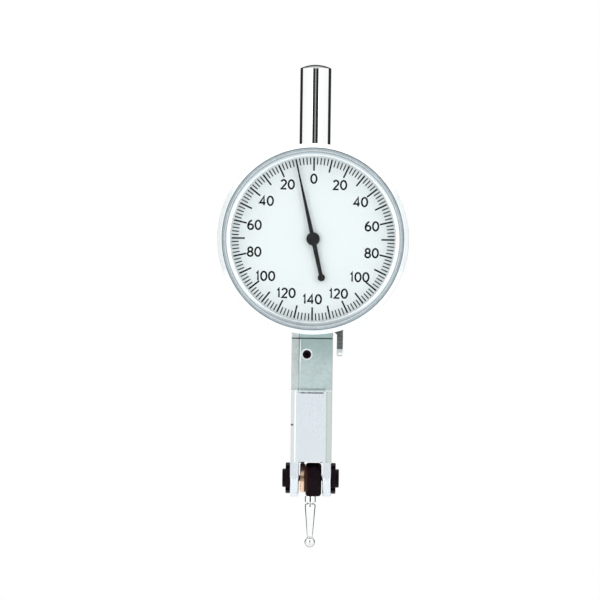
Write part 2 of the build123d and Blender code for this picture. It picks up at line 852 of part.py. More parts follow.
sector_root = root_of(sector_radius, drive_module)
tooth_angle = 360 * drive_module / (2 * sector_radius)
teeth_start = 90 + sector_first_tooth * tooth_angle
teeth_span = sector_teeth * tooth_angle
rim_half = (sector_root + sector_rim) * sin(radians(teeth_span / 2))
arm_slot_half = drive_pin_radius + running_gap
with BuildPart() as sector_lever:
    with BuildSketch(train(-sector_left, sector_pivot, lean)):
        with BuildLine():
            Polyline(
                (-sector_root_width / 2, 0),
                (-sector_top_width / 2, sector_root - sector_rim),
                (-rim_half, sector_root - sector_rim),
                (-rim_half, sqrt(sector_root**2 - rim_half**2)),
            )
            RadiusArc(
                (-rim_half, sqrt(sector_root**2 - rim_half**2)),
                (rim_half, sqrt(sector_root**2 - rim_half**2)),
                sector_root,
            )
            Polyline(
                (rim_half, sqrt(sector_root**2 - rim_half**2)),
                (rim_half, sector_root - sector_rim),
                (sector_top_width / 2, sector_root - sector_rim),
                (sector_root_width / 2, 0),
                (sector_root_width / 2, -short_arm - drive_pin_radius * 2),
                (-sector_root_width / 2, -short_arm - drive_pin_radius * 2),
                (-sector_root_width / 2, 0),
            )
        make_face()
        Circle(sector_hub_radius)
        Circle(cross_radius, mode=Mode.SUBTRACT)
        with Locations((0, -short_arm - drive_pin_radius * 2.5)):
            SlotOverall(drive_pin_radius * 8, 2 * arm_slot_half, rotation=90, mode=Mode.SUBTRACT)
    extrude(amount=sector_thickness)
    with BuildSketch(train(-sector_left, sector_pivot)):
        with PolarLocations(sector_root, sector_teeth, teeth_start, teeth_span):
            Polygon(*tooth(sector_root, drive_module), align=None)
    extrude(amount=sector_thickness)

with BuildPart() as sector_shaft:
    with BuildSketch(lengthways(sector_pivot)):
        with BuildLine():
            Polyline(
                (-cover_inside - bush_radius, 0),
                (-cover_inside - bush_radius, cross_radius - edge_break),
                (-cover_inside + bush_flange + passing_gap, cross_radius - edge_break),
                (-cover_inside + bush_flange + passing_gap, cross_radius),
                (pocket_right - bush_flange - passing_gap, cross_radius),
                (pocket_right - bush_flange - passing_gap, cross_radius - edge_break),
                (pocket_right + bush_radius, cross_radius - edge_break),
                (pocket_right + bush_radius, 0),
                close=True,
            )
        make_face()
    revolve(axis=cross_axis(sector_pivot))

peg_point = (
    sector_pivot[0] - peg_reach * sin(blade_turn),
    sector_pivot[1] + peg_reach * cos(blade_turn),
)
peg_left = sector_thickness - sector_left
with BuildPart() as spring_peg:
    with BuildSketch(from_right(peg_left, peg_point)):
        Circle(peg_radius)
    extrude(amount=wire_plane + 3 * wire_radius - peg_left)

# Bearings: jewels for the arbors, bushes for the sector's shaft


def jewel(outer, bore, thickness):
    """A ring-shaped bearing on the XY plane."""
    with BuildPart() as bearing:
        with BuildSketch():
            Circle(outer)
            Circle(bore, mode=Mode.SUBTRACT)
        extrude(amount=thickness)
    return bearing.part


rear_jewel = jewel(jewel_radius, arbor_pivot_radius + running_gap, cock_shelf)
front_jewel = jewel(front_jewel_radius, arbor_radius + running_gap, bridge_thickness)
with BuildPart() as centre_jewels:
    with Locations(facing(cock_shelf_depth)):
        add(rear_jewel)
    with Locations(facing(bridge_depth)):
        add(front_jewel)

cross_jewel = jewel(jewel_radius, arbor_pivot_radius + running_gap, jewel_thickness)
with BuildPart() as crown_jewels:
    with Locations(
        from_left(-cover_inside, crown_centre),
        from_right(pocket_right, crown_centre),
    ):
        add(cross_jewel)

bush_bore = cross_radius - edge_break + running_gap
bush_length = cover_thickness - 2 * passing_gap
with BuildPart() as sector_bush:
    with BuildSketch():
        Circle(bush_radius)
        Circle(bush_bore, mode=Mode.SUBTRACT)
    extrude(amount=bush_length)
    with BuildSketch():
        Circle(bush_flange_radius)
        Circle(bush_bore, mode=Mode.SUBTRACT)
    extrude(amount=-bush_flange)
with BuildPart() as sector_bushes:
    with Locations(
        from_left(-cover_inside, sector_pivot),
        from_right(pocket_right, sector_pivot),
    ):
        add(sector_bush.part)

# Movement bridge on two posts, and the rear cock that reaches in through the case window

hairspring_end = hairspring_start + hairspring_pitch * hairspring_turns
with BuildPart() as movement_bridge:
    with BuildSketch(facing(bridge_depth)):
        SlotOverall(2 * bridge_reach + bridge_width, bridge_width, rotation=90)
        Circle(front_jewel_radius, mode=Mode.SUBTRACT)
    extrude(amount=bridge_thickness)
    with BuildSketch(facing(case_inside)):
        with Locations((0, bridge_reach), (0, -bridge_reach)):
            Circle(post_radius)
    extrude(amount=bridge_depth - case_inside)
    with Locations(
        *[
            facing(bridge_depth + bridge_thickness) * Location((0, way * bridge_reach, 0))
            for way in (-1, 1)
        ]
    ):
        Hole(small_shank_radius, bridge_depth + bridge_thickness - case_inside)
    with Locations(facing(bridge_depth + bridge_thickness) * Location((0, -hairspring_end, 0))):
        Hole(stud_radius, bridge_thickness)

bridge_screw = slotted_screw(
    small_head_radius,
    small_head_height,
    small_shank_radius,
    bridge_depth + bridge_thickness - seat_depth,
)
with BuildPart() as bridge_screws:
    with Locations(
        *[
            facing(bridge_depth + bridge_thickness) * Location((0, way * bridge_reach, 0))
            for way in (-1, 1)
        ]
    ):
        add(bridge_screw)

with BuildPart() as centre_cock:
    with BuildSketch(Plane(origin=(0, 0, dial_z), x_dir=(1, 0, 0), z_dir=(0, 0, -1))):
        with BuildLine():
            Polyline(
                (-cock_reach, case_inside),
                (-cock_web_left, case_inside),
                (-cock_web_left, cock_shelf_depth),
                (cock_end, cock_shelf_depth),
                (cock_end, cock_shelf_depth + cock_shelf),
                (cock_thickness - cock_web_left, cock_shelf_depth + cock_shelf),
                (cock_thickness - cock_web_left, case_inside + cock_thickness),
                (-cock_reach, case_inside + cock_thickness),
                close=True,
            )
        make_face()
    extrude(amount=cock_half_height, both=True)
    with BuildSketch(facing(case_inside)):
        with Locations((cock_screw_side, 0)):
            RectangleRounded(cock_reach - cock_web_left, cock_foot_height, cock_thickness)
    extrude(amount=cock_thickness)
    with Locations(facing(cock_shelf_depth + cock_shelf)):
        Hole(jewel_radius, cock_shelf)
    with Locations(facing(case_inside + cock_thickness) * Location((cock_screw_side, 0, 0))):
        Hole(small_shank_radius, cock_thickness)

# The screw ends inside the case floor
cock_screw_body = slotted_screw(
    small_head_radius, small_head_height, small_shank_radius, cock_thickness + case_floor / 2
)
with BuildPart() as cock_screw:
    with Locations(facing(case_inside + cock_thickness) * Location((cock_screw_side, 0, 0))):
        add(cock_screw_body)

# Hairspring, wound in half circles from the collet out to its stud

with BuildPart() as hairspring_collet:
    with BuildSketch(facing(hairspring_depth - collet_height / 4)):
        Circle(collet_radius)
        Circle(arbor_radius, mode=Mode.SUBTRACT)
    extrude(amount=collet_height)

with BuildPart() as hairspring:
    with BuildSketch(facing(hairspring_depth, 90)):
        with BuildLine():
            for half in range(2 * hairspring_turns):
                radius = hairspring_start + hairspring_pitch * (half + 0.5) / 2
                centre = hairspring_pitch / 4 * (1 if half % 2 else -1)
                CenterArc((centre, 0), radius, 180 * (half % 2), 180)
        trace(line_width=hairspring_strip)
    extrude(amount=hairspring_height)

stud_back = hairspring_depth + hairspring_height + 2 * running_gap
with BuildPart() as hairspring_stud:
    with BuildSketch(facing(hairspring_depth)):
        with Locations((0, -hairspring_end)):
            Circle(stud_radius)
            Rectangle(3 * stud_radius, hairspring_strip, mode=Mode.SUBTRACT)
    extrude(amount=stud_back - hairspring_depth)
    with BuildSketch(facing(stud_back)):
        with Locations((0, -hairspring_end)):
            Circle(stud_radius)
    extrude(amount=bridge_depth + bridge_thickness - stud_back)

# Measuring lever: disc, sleeve with a cup at each end, and the arm that reaches up to its pin

arm_turn = -lever_travel / 2
arm_left = lever_disc_left - (lever_disc_thickness - lever_arm_thickness) / 2
pin_angle = line_tilt + radians(arm_turn)
pin_point = (
    stylus_pivot[0] - long_arm * sin(pin_angle),
    stylus_pivot[1] + long_arm * cos(pin_angle),
)
sleeve_left = lever_disc_left - lever_disc_thickness
with BuildPart() as measuring_lever:
    with BuildSketch(train(-lever_disc_left, stylus_pivot)):
        Circle(lever_disc_radius)
    extrude(amount=lever_disc_thickness)
    chamfer(measuring_lever.edges(), edge_break)
    with BuildSketch(train(-sleeve_left, stylus_pivot)):
        Circle(lever_sleeve_radius)
    extrude(amount=sleeve_left + lever_half_width)
    with BuildSketch(train(-arm_left, stylus_pivot, arm_turn)):
        with BuildLine():
            Polyline(
                (-lever_arm_width / 2, 0),
                (-arm_end_radius, long_arm),
                (0, long_arm + arm_end_radius),
                (arm_end_radius, long_arm),
                (lever_arm_width / 2, 0),
                close=True,
            )
        make_face()
        with Locations((0, long_arm)):
            Circle(arm_end_radius)
            Circle(drive_pin_radius, mode=Mode.SUBTRACT)
    extrude(amount=lever_arm_thickness)
    with BuildSketch(lengthways(stylus_pivot)):
        with BuildLine():
            Polyline(
                (-lever_disc_left, 0),
                (-lever_disc_left, cup_radius),
                (-lever_disc_left + cup_depth, 0),
                close=True,
            )
        make_face()
        with BuildLine():
            Polyline(
                (lever_half_width, 0),
                (lever_half_width, cup_radius),
                (lever_half_width - cup_depth, 0),
                close=True,
            )
        make_face()
    revolve(axis=cross_axis(stylus_pivot), mode=Mode.SUBTRACT)

with BuildPart() as drive_pin:
    with BuildSketch(from_right(-arm_left, pin_point)):
        Circle(drive_pin_radius)
    extrude(amount=arm_left - sector_left + sector_thickness + passing_gap)

# Stylus drum, held on the sleeve by a friction washer

drum_left = sleeve_left - washer_thickness - running_gap
with BuildPart() as friction_washer:
    with BuildSketch(from_right(-sleeve_left, stylus_pivot)):
        Circle(washer_radius)
        Circle(lever_sleeve_radius + running_gap, mode=Mode.SUBTRACT)
    extrude(amount=washer_thickness)

with BuildPart() as stylus_drum:
    with BuildSketch(from_right(-drum_left, stylus_pivot)):
        Circle(drum_radius)
        Rectangle(drum_foot_width, drum_foot, align=(Align.CENTER, Align.MAX))
    extrude(amount=drum_left + drum_right)
    rims = stylus_drum.faces().filter_by(Axis.X).edges()
    fillet(rims, drum_rounding)
    with Locations(from_right(drum_right, stylus_pivot)):
        Hole(lever_sleeve_radius + running_gap, drum_left + drum_right)
    with Locations(Plane(origin=(0, stylus_pivot[0], pivot_z - drum_foot), z_dir=(0, 0, -1))):
        Hole(stylus_thread_radius, stylus_thread_length)

stylus_plane = Plane(origin=(0, *stylus_pivot), x_dir=(1, 0, 0), z_dir=(0, -1, 0))
stylus_axis = Axis((0, *stylus_pivot), (0, 0, -1))
shank_end = stylus_length - ball_radius / 2
collar_end = drum_foot + collar_length
with BuildPart() as stylus_shank:
    with BuildSketch(stylus_plane):
        with BuildLine():
            Polyline(
                (0, -shank_end),
                (0, -drum_foot + stylus_thread_length),
                (stylus_thread_radius, -drum_foot + stylus_thread_length),
                (stylus_thread_radius, -drum_foot),
                (collar_radius, -drum_foot),
                (collar_radius, -collar_end),
                (neck_radius, -collar_end),
                (neck_radius, -collar_end - neck_length),
            )
            RadiusArc(
                (neck_radius, -collar_end - neck_length),
                (collar_radius, -collar_end - neck_length - shoulder_length),
                shoulder_length * 1.2,
            )
            Polyline(
                (collar_radius, -collar_end - neck_length - shoulder_length),
                (shank_end_radius, -shank_end),
                (0, -shank_end),
            )
        make_face()
    revolve(axis=stylus_axis)
    with Locations(Plane(origin=(0, stylus_pivot[0], pivot_z - stylus_length))):
        Sphere(ball_radius, mode=Mode.SUBTRACT)

with BuildPart() as contact_ball:
    with Locations(Plane(origin=(0, stylus_pivot[0], pivot_z - stylus_length))):
        Sphere(ball_radius)

# Pivot screws with cone points in the sleeve's cups, and their slotted lock nuts

tip = cup_depth * (1 - running_gap / cup_radius)
thread_end = (fork_gap / 2) - running_gap


def pivot_screw(end):
    """A pivot screw on the YZ plane: head out along +Z, its cone point reaching back to end."""
    nose = half_width - end
    with BuildPart() as screw:
        with BuildSketch(Plane.XZ):
            with BuildLine():
                Polyline(
                    (0, lock_nut_thickness + pivot_head_height),
                    (pivot_head_radius - edge_break, lock_nut_thickness + pivot_head_height),
                    (pivot_head_radius, lock_nut_thickness + pivot_head_height - edge_break),
                    (pivot_head_radius, lock_nut_thickness),
                    (pivot_thread_radius, lock_nut_thickness),
                    (pivot_thread_radius, thread_end - half_width),
                    (pivot_nose_radius, thread_end - half_width),
                    (pivot_nose_radius, -nose + passing_gap / 2),
                    (cup_radius - 2 * running_gap, -nose + passing_gap / 2),
                    (0, -nose - tip + running_gap),
                    close=True,
                )
            make_face()
        revolve(axis=Axis.Z)
        with BuildSketch(Plane.XY.offset(lock_nut_thickness + pivot_head_height)):
            Rectangle(driver_slot, 3 * pivot_head_radius)
        extrude(amount=-driver_slot_depth, mode=Mode.SUBTRACT)
    return screw.part


left_screw = pivot_screw(lever_disc_left + running_gap)
right_screw = pivot_screw(drum_right + running_gap)
with BuildPart() as pivot_screws:
    with Locations(from_left(-half_width, stylus_pivot)):
        add(left_screw)
    with Locations(from_right(half_width, stylus_pivot)):
        add(right_screw)

with BuildPart() as lock_nut:
    with BuildSketch():
        Circle(lock_nut_radius)
    extrude(amount=lock_nut_thickness)
    chamfer(lock_nut.edges(), edge_break)
    with BuildSketch(Plane.XY.offset(lock_nut_thickness)):
        with PolarLocations(lock_nut_radius, 4, start_angle=45):
            Rectangle(2 * lock_nut_slot_depth, lock_nut_slot)
    extrude(amount=-lock_nut_thickness, mode=Mode.SUBTRACT)
    with Locations(Plane.XY.offset(lock_nut_thickness)):
        Hole(pivot_thread_radius, lock_nut_thickness)
with BuildPart() as lock_nuts:
    with Locations(from_left(-half_width, stylus_pivot), from_right(half_width, stylus_pivot)):
        add(lock_nut.part)

# Changeover lever on the right, with its shaft, crank and wire spring inside

lever_outside = half_width + passing_gap
grip_left = half_width + changeover_grip_offset
grip_top = changeover_reach - changeover_grip_length
changeover_tilt = radians(-changeover_turn)


def changeover_plane(x):
    """The plane across the changeover lever at x, Y up along the lever as it stands at rest."""
    return Plane(
        origin=(x, *changeover_pivot),
        x_dir=(0, cos(changeover_tilt), sin(changeover_tilt)),
        z_dir=(1, 0, 0),
    )


changeover_front = Plane(
    origin=(0, *changeover_pivot),
    x_dir=(1, 0, 0),
    z_dir=(0, -cos(changeover_tilt), -sin(changeover_tilt)),
)
with BuildPart() as changeover_lever:
    with BuildSketch(changeover_plane(lever_outside)):
        Circle(changeover_boss_radius)
    extrude(amount=changeover_boss)
    with BuildSketch(changeover_front):
        with BuildLine():
            Polyline(
                (lever_outside, 0),
                (lever_outside, -grip_top),
                (grip_left, -grip_top - changeover_boss),
                (grip_left, -changeover_reach + 2 * edge_break),
                (grip_left + 2 * edge_break, -changeover_reach),
                (grip_left + changeover_grip_thickness - 2 * edge_break, -changeover_reach),
                (grip_left + changeover_grip_thickness, -changeover_reach + 2 * edge_break),
                (grip_left + changeover_grip_thickness, -grip_top),
                (lever_outside + changeover_boss, -grip_top + changeover_boss),
                (lever_outside + changeover_boss, 0),
                close=True,
            )
        make_face()
        with Locations((grip_left + changeover_grip_thickness, -grip_top - changeover_grip_length / 2)):
            with GridLocations(0, changeover_grip_length * 0.75 / serration_count, 1, serration_count):
                RegularPolygon(serration_depth, 4, rotation=45, mode=Mode.SUBTRACT)
    extrude(amount=changeover_arm_width / 2, both=True)
    with Locations(changeover_plane(lever_outside + changeover_boss)):
        Hole(changeover_shaft_radius, changeover_boss)

crank_left = pocket_right - passing_gap - crank_thickness
with BuildPart() as changeover_shaft:
    with BuildSketch(changeover_plane(crank_left)):
        Circle(crank_radius)
    extrude(amount=crank_thickness)
    with BuildSketch(changeover_plane(crank_left)):
        Circle(changeover_shaft_radius)
    extrude(amount=lever_outside + changeover_boss - crank_left)
    with BuildSketch(changeover_plane(wire_plane - wire_radius)):
        with Locations((0, -crank_throw)):
            Circle(crank_pin_radius)
    extrude(amount=crank_left - wire_plane + wire_radius)

with BuildPart() as changeover_cap:
    with BuildSketch(changeover_plane(lever_outside + changeover_boss)):
        Circle(changeover_cap_radius)
    extrude(amount=changeover_cap_height)
    chamfer(changeover_cap.faces().sort_by(Axis.X)[-1].edges(), edge_break)
    with BuildSketch(changeover_plane(lever_outside + changeover_boss + changeover_cap_height)):
        Rectangle(3 * changeover_cap_radius, driver_slot)
    extrude(amount=-changeover_cap_height / 2, mode=Mode.SUBTRACT)

crank_pin_point = (
    changeover_pivot[0] + crank_throw * sin(changeover_tilt),
    changeover_pivot[1] - crank_throw * cos(changeover_tilt),
)
wire_start = (crank_pin_point[0] + crank_pin_radius + wire_radius, crank_pin_point[1])
wire_finish = (peg_point[0] + peg_radius + wire_radius, peg_point[1] - peg_radius)
wire_x = wire_plane + wire_radius
with BuildPart() as measuring_spring:
    with BuildLine() as wire_line:
        Line((wire_x, *wire_start), (wire_x, *wire_finish))
    with BuildSketch(Plane(origin=wire_line.line @ 0, z_dir=wire_line.line % 0)):
        Circle(wire_radius)
    sweep(path=wire_line.line)

pieces = {
    "stem": stem,
    "stem_lock_screw": stem_lock_screw,
    "body_frame": body_frame,
    "side_cover": side_cover,
    "side_cover_screws": side_cover_screws,
    "stop_screw": stop_screw,
    "dial_case": dial_case,
    "case_screws": case_screws,
    "bezel": bezel,
    "bezel_spring": bezel_spring,
    "crystal": crystal,
    "dial_plate": dial_plate,
    "pointer": pointer,
    "pointer_hub": pointer_hub,
    "centre_arbor": centre_arbor,
    "hairspring_collet": hairspring_collet,
    "hairspring": hairspring,
    "hairspring_stud": hairspring_stud,
    "crown_gear": crown_gear,
    "crown_arbor": crown_arbor,
    "sector_lever": sector_lever,
    "sector_shaft": sector_shaft,
    "spring_peg": spring_peg,
    "centre_jewels": centre_jewels,
    "crown_jewels": crown_jewels,
    "sector_bushes": sector_bushes,
    "movement_bridge": movement_bridge,
    "bridge_screws": bridge_screws,
    "centre_cock": centre_cock,
    "cock_screw": cock_screw,
    "measuring_lever": measuring_lever,
    "drive_pin": drive_pin,
    "friction_washer": friction_washer,
    "stylus_drum": stylus_drum,
    "stylus_shank": stylus_shank,
    "contact_ball": contact_ball,
    "pivot_screws": pivot_screws,
    "lock_nuts": lock_nuts,
    "changeover_lever": changeover_lever,
    "changeover_shaft": changeover_shaft,
    "changeover_cap": changeover_cap,
    "measuring_spring": measuring_spring,
}

os.makedirs("parts", exist_ok=True)
for label, piece in pieces.items():
    piece.part.label = label
    export_step(piece.part, f"parts/{label}.step")
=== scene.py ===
"""Looks of a lever-type dial test indicator: finishes, finer surfaces, printing and stage.

Lengths are in metres in the part's own frame: +Z up the stem, the dial faces -Y.
"""

import json
import math

import bpy
import numpy as np
from mathutils import Matrix, Vector


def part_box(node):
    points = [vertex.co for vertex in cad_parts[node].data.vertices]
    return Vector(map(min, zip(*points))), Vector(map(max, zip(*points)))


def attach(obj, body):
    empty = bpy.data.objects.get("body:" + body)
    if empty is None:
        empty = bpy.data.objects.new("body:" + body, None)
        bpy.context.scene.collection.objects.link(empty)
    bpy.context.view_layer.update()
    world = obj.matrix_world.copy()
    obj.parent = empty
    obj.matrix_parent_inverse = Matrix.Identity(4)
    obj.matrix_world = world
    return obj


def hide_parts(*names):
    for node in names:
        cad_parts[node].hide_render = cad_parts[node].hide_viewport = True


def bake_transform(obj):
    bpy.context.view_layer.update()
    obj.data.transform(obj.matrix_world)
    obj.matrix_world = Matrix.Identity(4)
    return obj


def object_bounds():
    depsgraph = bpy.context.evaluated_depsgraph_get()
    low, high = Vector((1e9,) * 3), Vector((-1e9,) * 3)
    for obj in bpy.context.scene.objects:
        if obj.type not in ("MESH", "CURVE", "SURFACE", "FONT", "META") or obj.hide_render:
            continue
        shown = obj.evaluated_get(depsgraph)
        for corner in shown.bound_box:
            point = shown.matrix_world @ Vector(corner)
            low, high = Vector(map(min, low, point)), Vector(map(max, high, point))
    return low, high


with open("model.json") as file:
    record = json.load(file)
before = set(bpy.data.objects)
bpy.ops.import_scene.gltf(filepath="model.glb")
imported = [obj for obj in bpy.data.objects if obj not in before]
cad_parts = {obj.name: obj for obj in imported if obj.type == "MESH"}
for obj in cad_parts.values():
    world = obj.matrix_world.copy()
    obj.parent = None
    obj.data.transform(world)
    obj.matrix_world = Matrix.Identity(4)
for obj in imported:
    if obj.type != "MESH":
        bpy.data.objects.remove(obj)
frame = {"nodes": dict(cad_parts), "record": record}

bl_info = {
    "name": "Dial test indicator looks",
    "version": (1, 0, 0),
    "blender": (4, 5, 0),
    "location": "View3D > Sidebar > Indicator",
    "description": "Finishes, dial printing, light and camera of a lever-type dial test indicator",
    "category": "Object",
}

MM = 0.001
CAD_BOX = [list(corner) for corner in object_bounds()]

BODY = "indicator_body"
BEZEL = "rotating_bezel"
POINTER = "pointer_arbor"
STYLUS = "stylus"


def box_of(node):
    """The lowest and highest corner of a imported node, as arrays."""
    low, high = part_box(node)
    return np.array(low), np.array(high)


def depths(low, high):
    """How far forward of the frame's middle plane a box begins and ends: its -y, back to front."""
    return -float(high[1]), -float(low[1])


STEM_LOW, STEM_HIGH = box_of("stem")
BAR_LOW, BAR_HIGH = box_of("body_frame")
COVER_LOW, COVER_HIGH = box_of("side_cover")
STOP_LOW, STOP_HIGH = box_of("stop_screw")
BEZEL_LOW, BEZEL_HIGH = box_of("bezel")
CRYSTAL_LOW, CRYSTAL_HIGH = box_of("crystal")
DIAL_LOW, DIAL_HIGH = box_of("dial_plate")
HUB_LOW, HUB_HIGH = box_of("pointer_hub")
NUT_LOW, NUT_HIGH = box_of("lock_nuts")
SHANK_LOW, SHANK_HIGH = box_of("stylus_shank")
BALL_LOW, BALL_HIGH = box_of("contact_ball")

BEZEL_RADIUS = float(BEZEL_HIGH[0] - BEZEL_LOW[0]) / 2
DIAL_Z = float(BEZEL_LOW[2] + BEZEL_HIGH[2]) / 2
DIAL_FACE = -float(DIAL_LOW[1])
STOP_CENTRE = (STOP_LOW + STOP_HIGH) / 2
LEVER_FOOT = float(box_of("changeover_lever")[0][2])
PIVOT_Z = float(NUT_LOW[2] + NUT_HIGH[2]) / 2
DRUM_LEFT = float(box_of("stylus_drum")[0][0])
BALL_CENTRE = (BALL_LOW + BALL_HIGH) / 2

# The bar: its front face, the side cover's edge and end, the groove and the step
BAR_FRONT = -float(BAR_LOW[1])
SEAM_X = float(COVER_HIGH[0])
COVER_END = float(COVER_LOW[2])
GROOVE_Z = DIAL_Z - 19.25 * MM
STEP_Z = DIAL_Z - 29.5 * MM

# The sloping front below the step: how far forward its top and its foot are, and its bevels
SLOPE_DEPTH, SLOPE_FOOT, SLOPE_LENGTH = 4.15 * MM, 3.05 * MM, 16.9 * MM
BEVEL = 1.05 * MM

# The height of the chamfer on the bezel's rim
CHAMFER = 1.2 * MM

# The measuring spring's wire: where it stands still below the crank, and how finely it is cut
WIRE_SPLIT, WIRE_RINGS, WIRE_SIDES = 3.6 * MM, 25, 16

# The dial's printing: its numbers and their step, the widths of its lines and the ink's height
NUMBERS, NUMBER_STEP = 14, 20
LONG_WIDTH, SHORT_WIDTH, NUMERAL_WIDTH = 0.32 * MM, 0.22 * MM, 0.35 * MM
FILM = 0.015 * MM

# Waves of a turned face and of a knurl, in radians to the metre, and the sharpest smooth edge
TURNING_WAVES, KNURL_WAVES = 52000, 16000
SMOOTH_EDGE = math.radians(24)

# Tones of single places on the metal
SIDE_TONE, COVER_TONE = (0.66, 0.71, 0.72), (0.94, 1.0, 0.97)
UPPER_SHARES, LOWER_SHARES = (0.90, 1.00, 0.98), (1.28, 1.30, 1.34)
# Painted shade near the step's margins, the white of painted highlights, and the dark of painted
# shade in crevices
STEP_MARGIN_SHADE, HIGHLIGHT_WHITE, SHADE_DARK = (0.80, 0.88, 0.86), (0.97, 0.99, 1.0), (0.05, 0.07, 0.07)
# Painted shade on the right bevel with a painted shade line along its outer edge; on the next line,
# a lighter painted shade on the left bevel with a painted highlight along its outer edge
RIGHT_BEVEL_SHADE, RIGHT_EDGE_SHADE = (0.568, 0.613, 0.587), (0.46, 0.50, 0.49)
LEFT_BEVEL_SHADE, LEFT_EDGE_HIGHLIGHT = (0.68, 0.695, 0.69), (0.96, 1.0, 1.0)
BEZEL_SIDE, LEVER_TIP = (0.54, 0.58, 0.61), (0.93, 0.95, 0.95)
# Painted shade under the fork's roof, and a painted brown reflection of the bronze disc on the
# drum's edge
ROOF_SHADE, REFLECTED_BRONZE = (0.075, 0.034, 0.036), (0.085, 0.022, 0.008)


# Sizes and colours that a user would change


class DialSettings(bpy.types.PropertyGroup):
    """The printing on the dial."""

    divisions: bpy.props.IntProperty(
        name="Divisions", description="Marks round the dial", default=140, min=20, max=400
    )
    mark_outer: bpy.props.FloatProperty(
        name="Mark outer radius", description="Where every mark starts",
        default=15.75 * MM, unit="LENGTH", precision=5,
    )
    short_mark: bpy.props.FloatProperty(
        name="Short mark", description="Length of the marks between the fives",
        default=1.35 * MM, unit="LENGTH", precision=5,
    )
    long_mark: bpy.props.FloatProperty(
        name="Long mark", description="Length of every fifth mark",
        default=2.55 * MM, unit="LENGTH", precision=5,
    )
    numeral_radius: bpy.props.FloatProperty(
        name="Numeral radius", description="From the dial's centre to the middle of a numeral",
        default=11.65 * MM, unit="LENGTH", precision=5,
    )
    numeral_height: bpy.props.FloatProperty(
        name="Numeral height", description="Height of the numerals",
        default=1.95 * MM, unit="LENGTH", precision=5,
    )
    ink: bpy.props.FloatVectorProperty(
        name="Ink", description="Colour of the printing", default=(0.003, 0.003, 0.004),
        subtype="COLOR", min=0, max=1,
    )
    enamel: bpy.props.FloatVectorProperty(
        name="Enamel", description="Colour of the dial's face", default=(0.80, 0.855, 0.86),
        subtype="COLOR", min=0, max=1,
    )


class MetalSettings(bpy.types.PropertyGroup):
    """The colours of the metal finishes, and how many flutes the bezel has."""

    satin: bpy.props.FloatVectorProperty(
        name="Satin chrome", description="Plating on the bar, its cover and the case",
        default=(0.66, 0.77, 0.77), subtype="COLOR", min=0, max=1,
    )
    bezel: bpy.props.FloatVectorProperty(
        name="Bezel", description="Plating on the bezel",
        default=(0.76, 0.86, 0.92), subtype="COLOR", min=0, max=1,
    )
    # The colour of the bezel's painted highlights
    rim: bpy.props.FloatVectorProperty(
        name="Rim", description="The bezel's bright rim and lines",
        default=(0.95, 0.98, 0.99), subtype="COLOR", min=0, max=1,
    )
    # The sloping front's brighter tone is painted light
    ground: bpy.props.FloatVectorProperty(
        name="Ground front", description="The brighter, sloping front of the fork",
        default=(0.86, 0.91, 0.96), subtype="COLOR", min=0, max=1,
    )
    stem: bpy.props.FloatVectorProperty(
        name="Stem", description="Polished plating on the stem and the stylus",
        default=(0.90, 0.90, 0.89), subtype="COLOR", min=0, max=1,
    )
    black: bpy.props.FloatVectorProperty(
        name="Blacked steel", description="The screws, nuts and drum of the fork",
        default=(0.006, 0.0025, 0.0045), subtype="COLOR", min=0, max=1,
    )
    bronze: bpy.props.FloatVectorProperty(
        name="Bronze", description="The measuring lever's disc",
        default=(0.93, 0.64, 0.47), subtype="COLOR", min=0, max=1,
    )
    flutes: bpy.props.IntProperty(
        name="Bezel flutes", description="Fine flutes round the bezel's grip",
        default=144, min=24, max=200,
    )


class StageSettings(bpy.types.PropertyGroup):
    """The light, the floor and the camera."""

    lens: bpy.props.FloatProperty(
        name="Lens", description="Focal length in millimetres", default=600.0, min=50, max=900
    )
    field: bpy.props.FloatProperty(
        name="Field", description="Width of the picture at the object",
        default=116.5 * MM, unit="LENGTH", precision=5,
    )
    lean: bpy.props.FloatProperty(
        name="Lean", description="How far the object leans clockwise in the picture",
        default=math.radians(0.76), subtype="ANGLE",
    )
    side: bpy.props.FloatProperty(
        name="Side", description="How far the camera stands to the right of the dial's axis",
        default=math.radians(0.8), subtype="ANGLE",
    )
    floor_drop: bpy.props.FloatProperty(
        name="Floor drop", description="From the ball down to the floor",
        default=30 * MM, unit="LENGTH", precision=5,
    )
    room: bpy.props.FloatProperty(
        name="Room", description="Strength of the pale room's light", default=1.11, min=0
    )
    power: bpy.props.FloatProperty(
        name="Light", description="Strength of the two side lights", default=0.62,
        unit="POWER", min=0,
    )


# Shader nodes


def both_ways(operation):
    """The two methods behind an operator: wire with value, and value with wire."""
    return (
        lambda wire, other: wire.graph.reckon(operation, wire, other),
        lambda wire, other: wire.graph.reckon(operation, other, wire),
    )


class Wire:
    """A node's output that can be used in sums: each operator adds one Math node."""

    __add__, __radd__ = both_ways("ADD")
    __sub__, __rsub__ = both_ways("SUBTRACT")
    __mul__ = both_ways("MULTIPLY")[0]
    __truediv__ = both_ways("DIVIDE")[0]
    __pow__ = both_ways("POWER")[0]

    def __init__(self, graph, socket):
        self.graph, self.socket = graph, socket


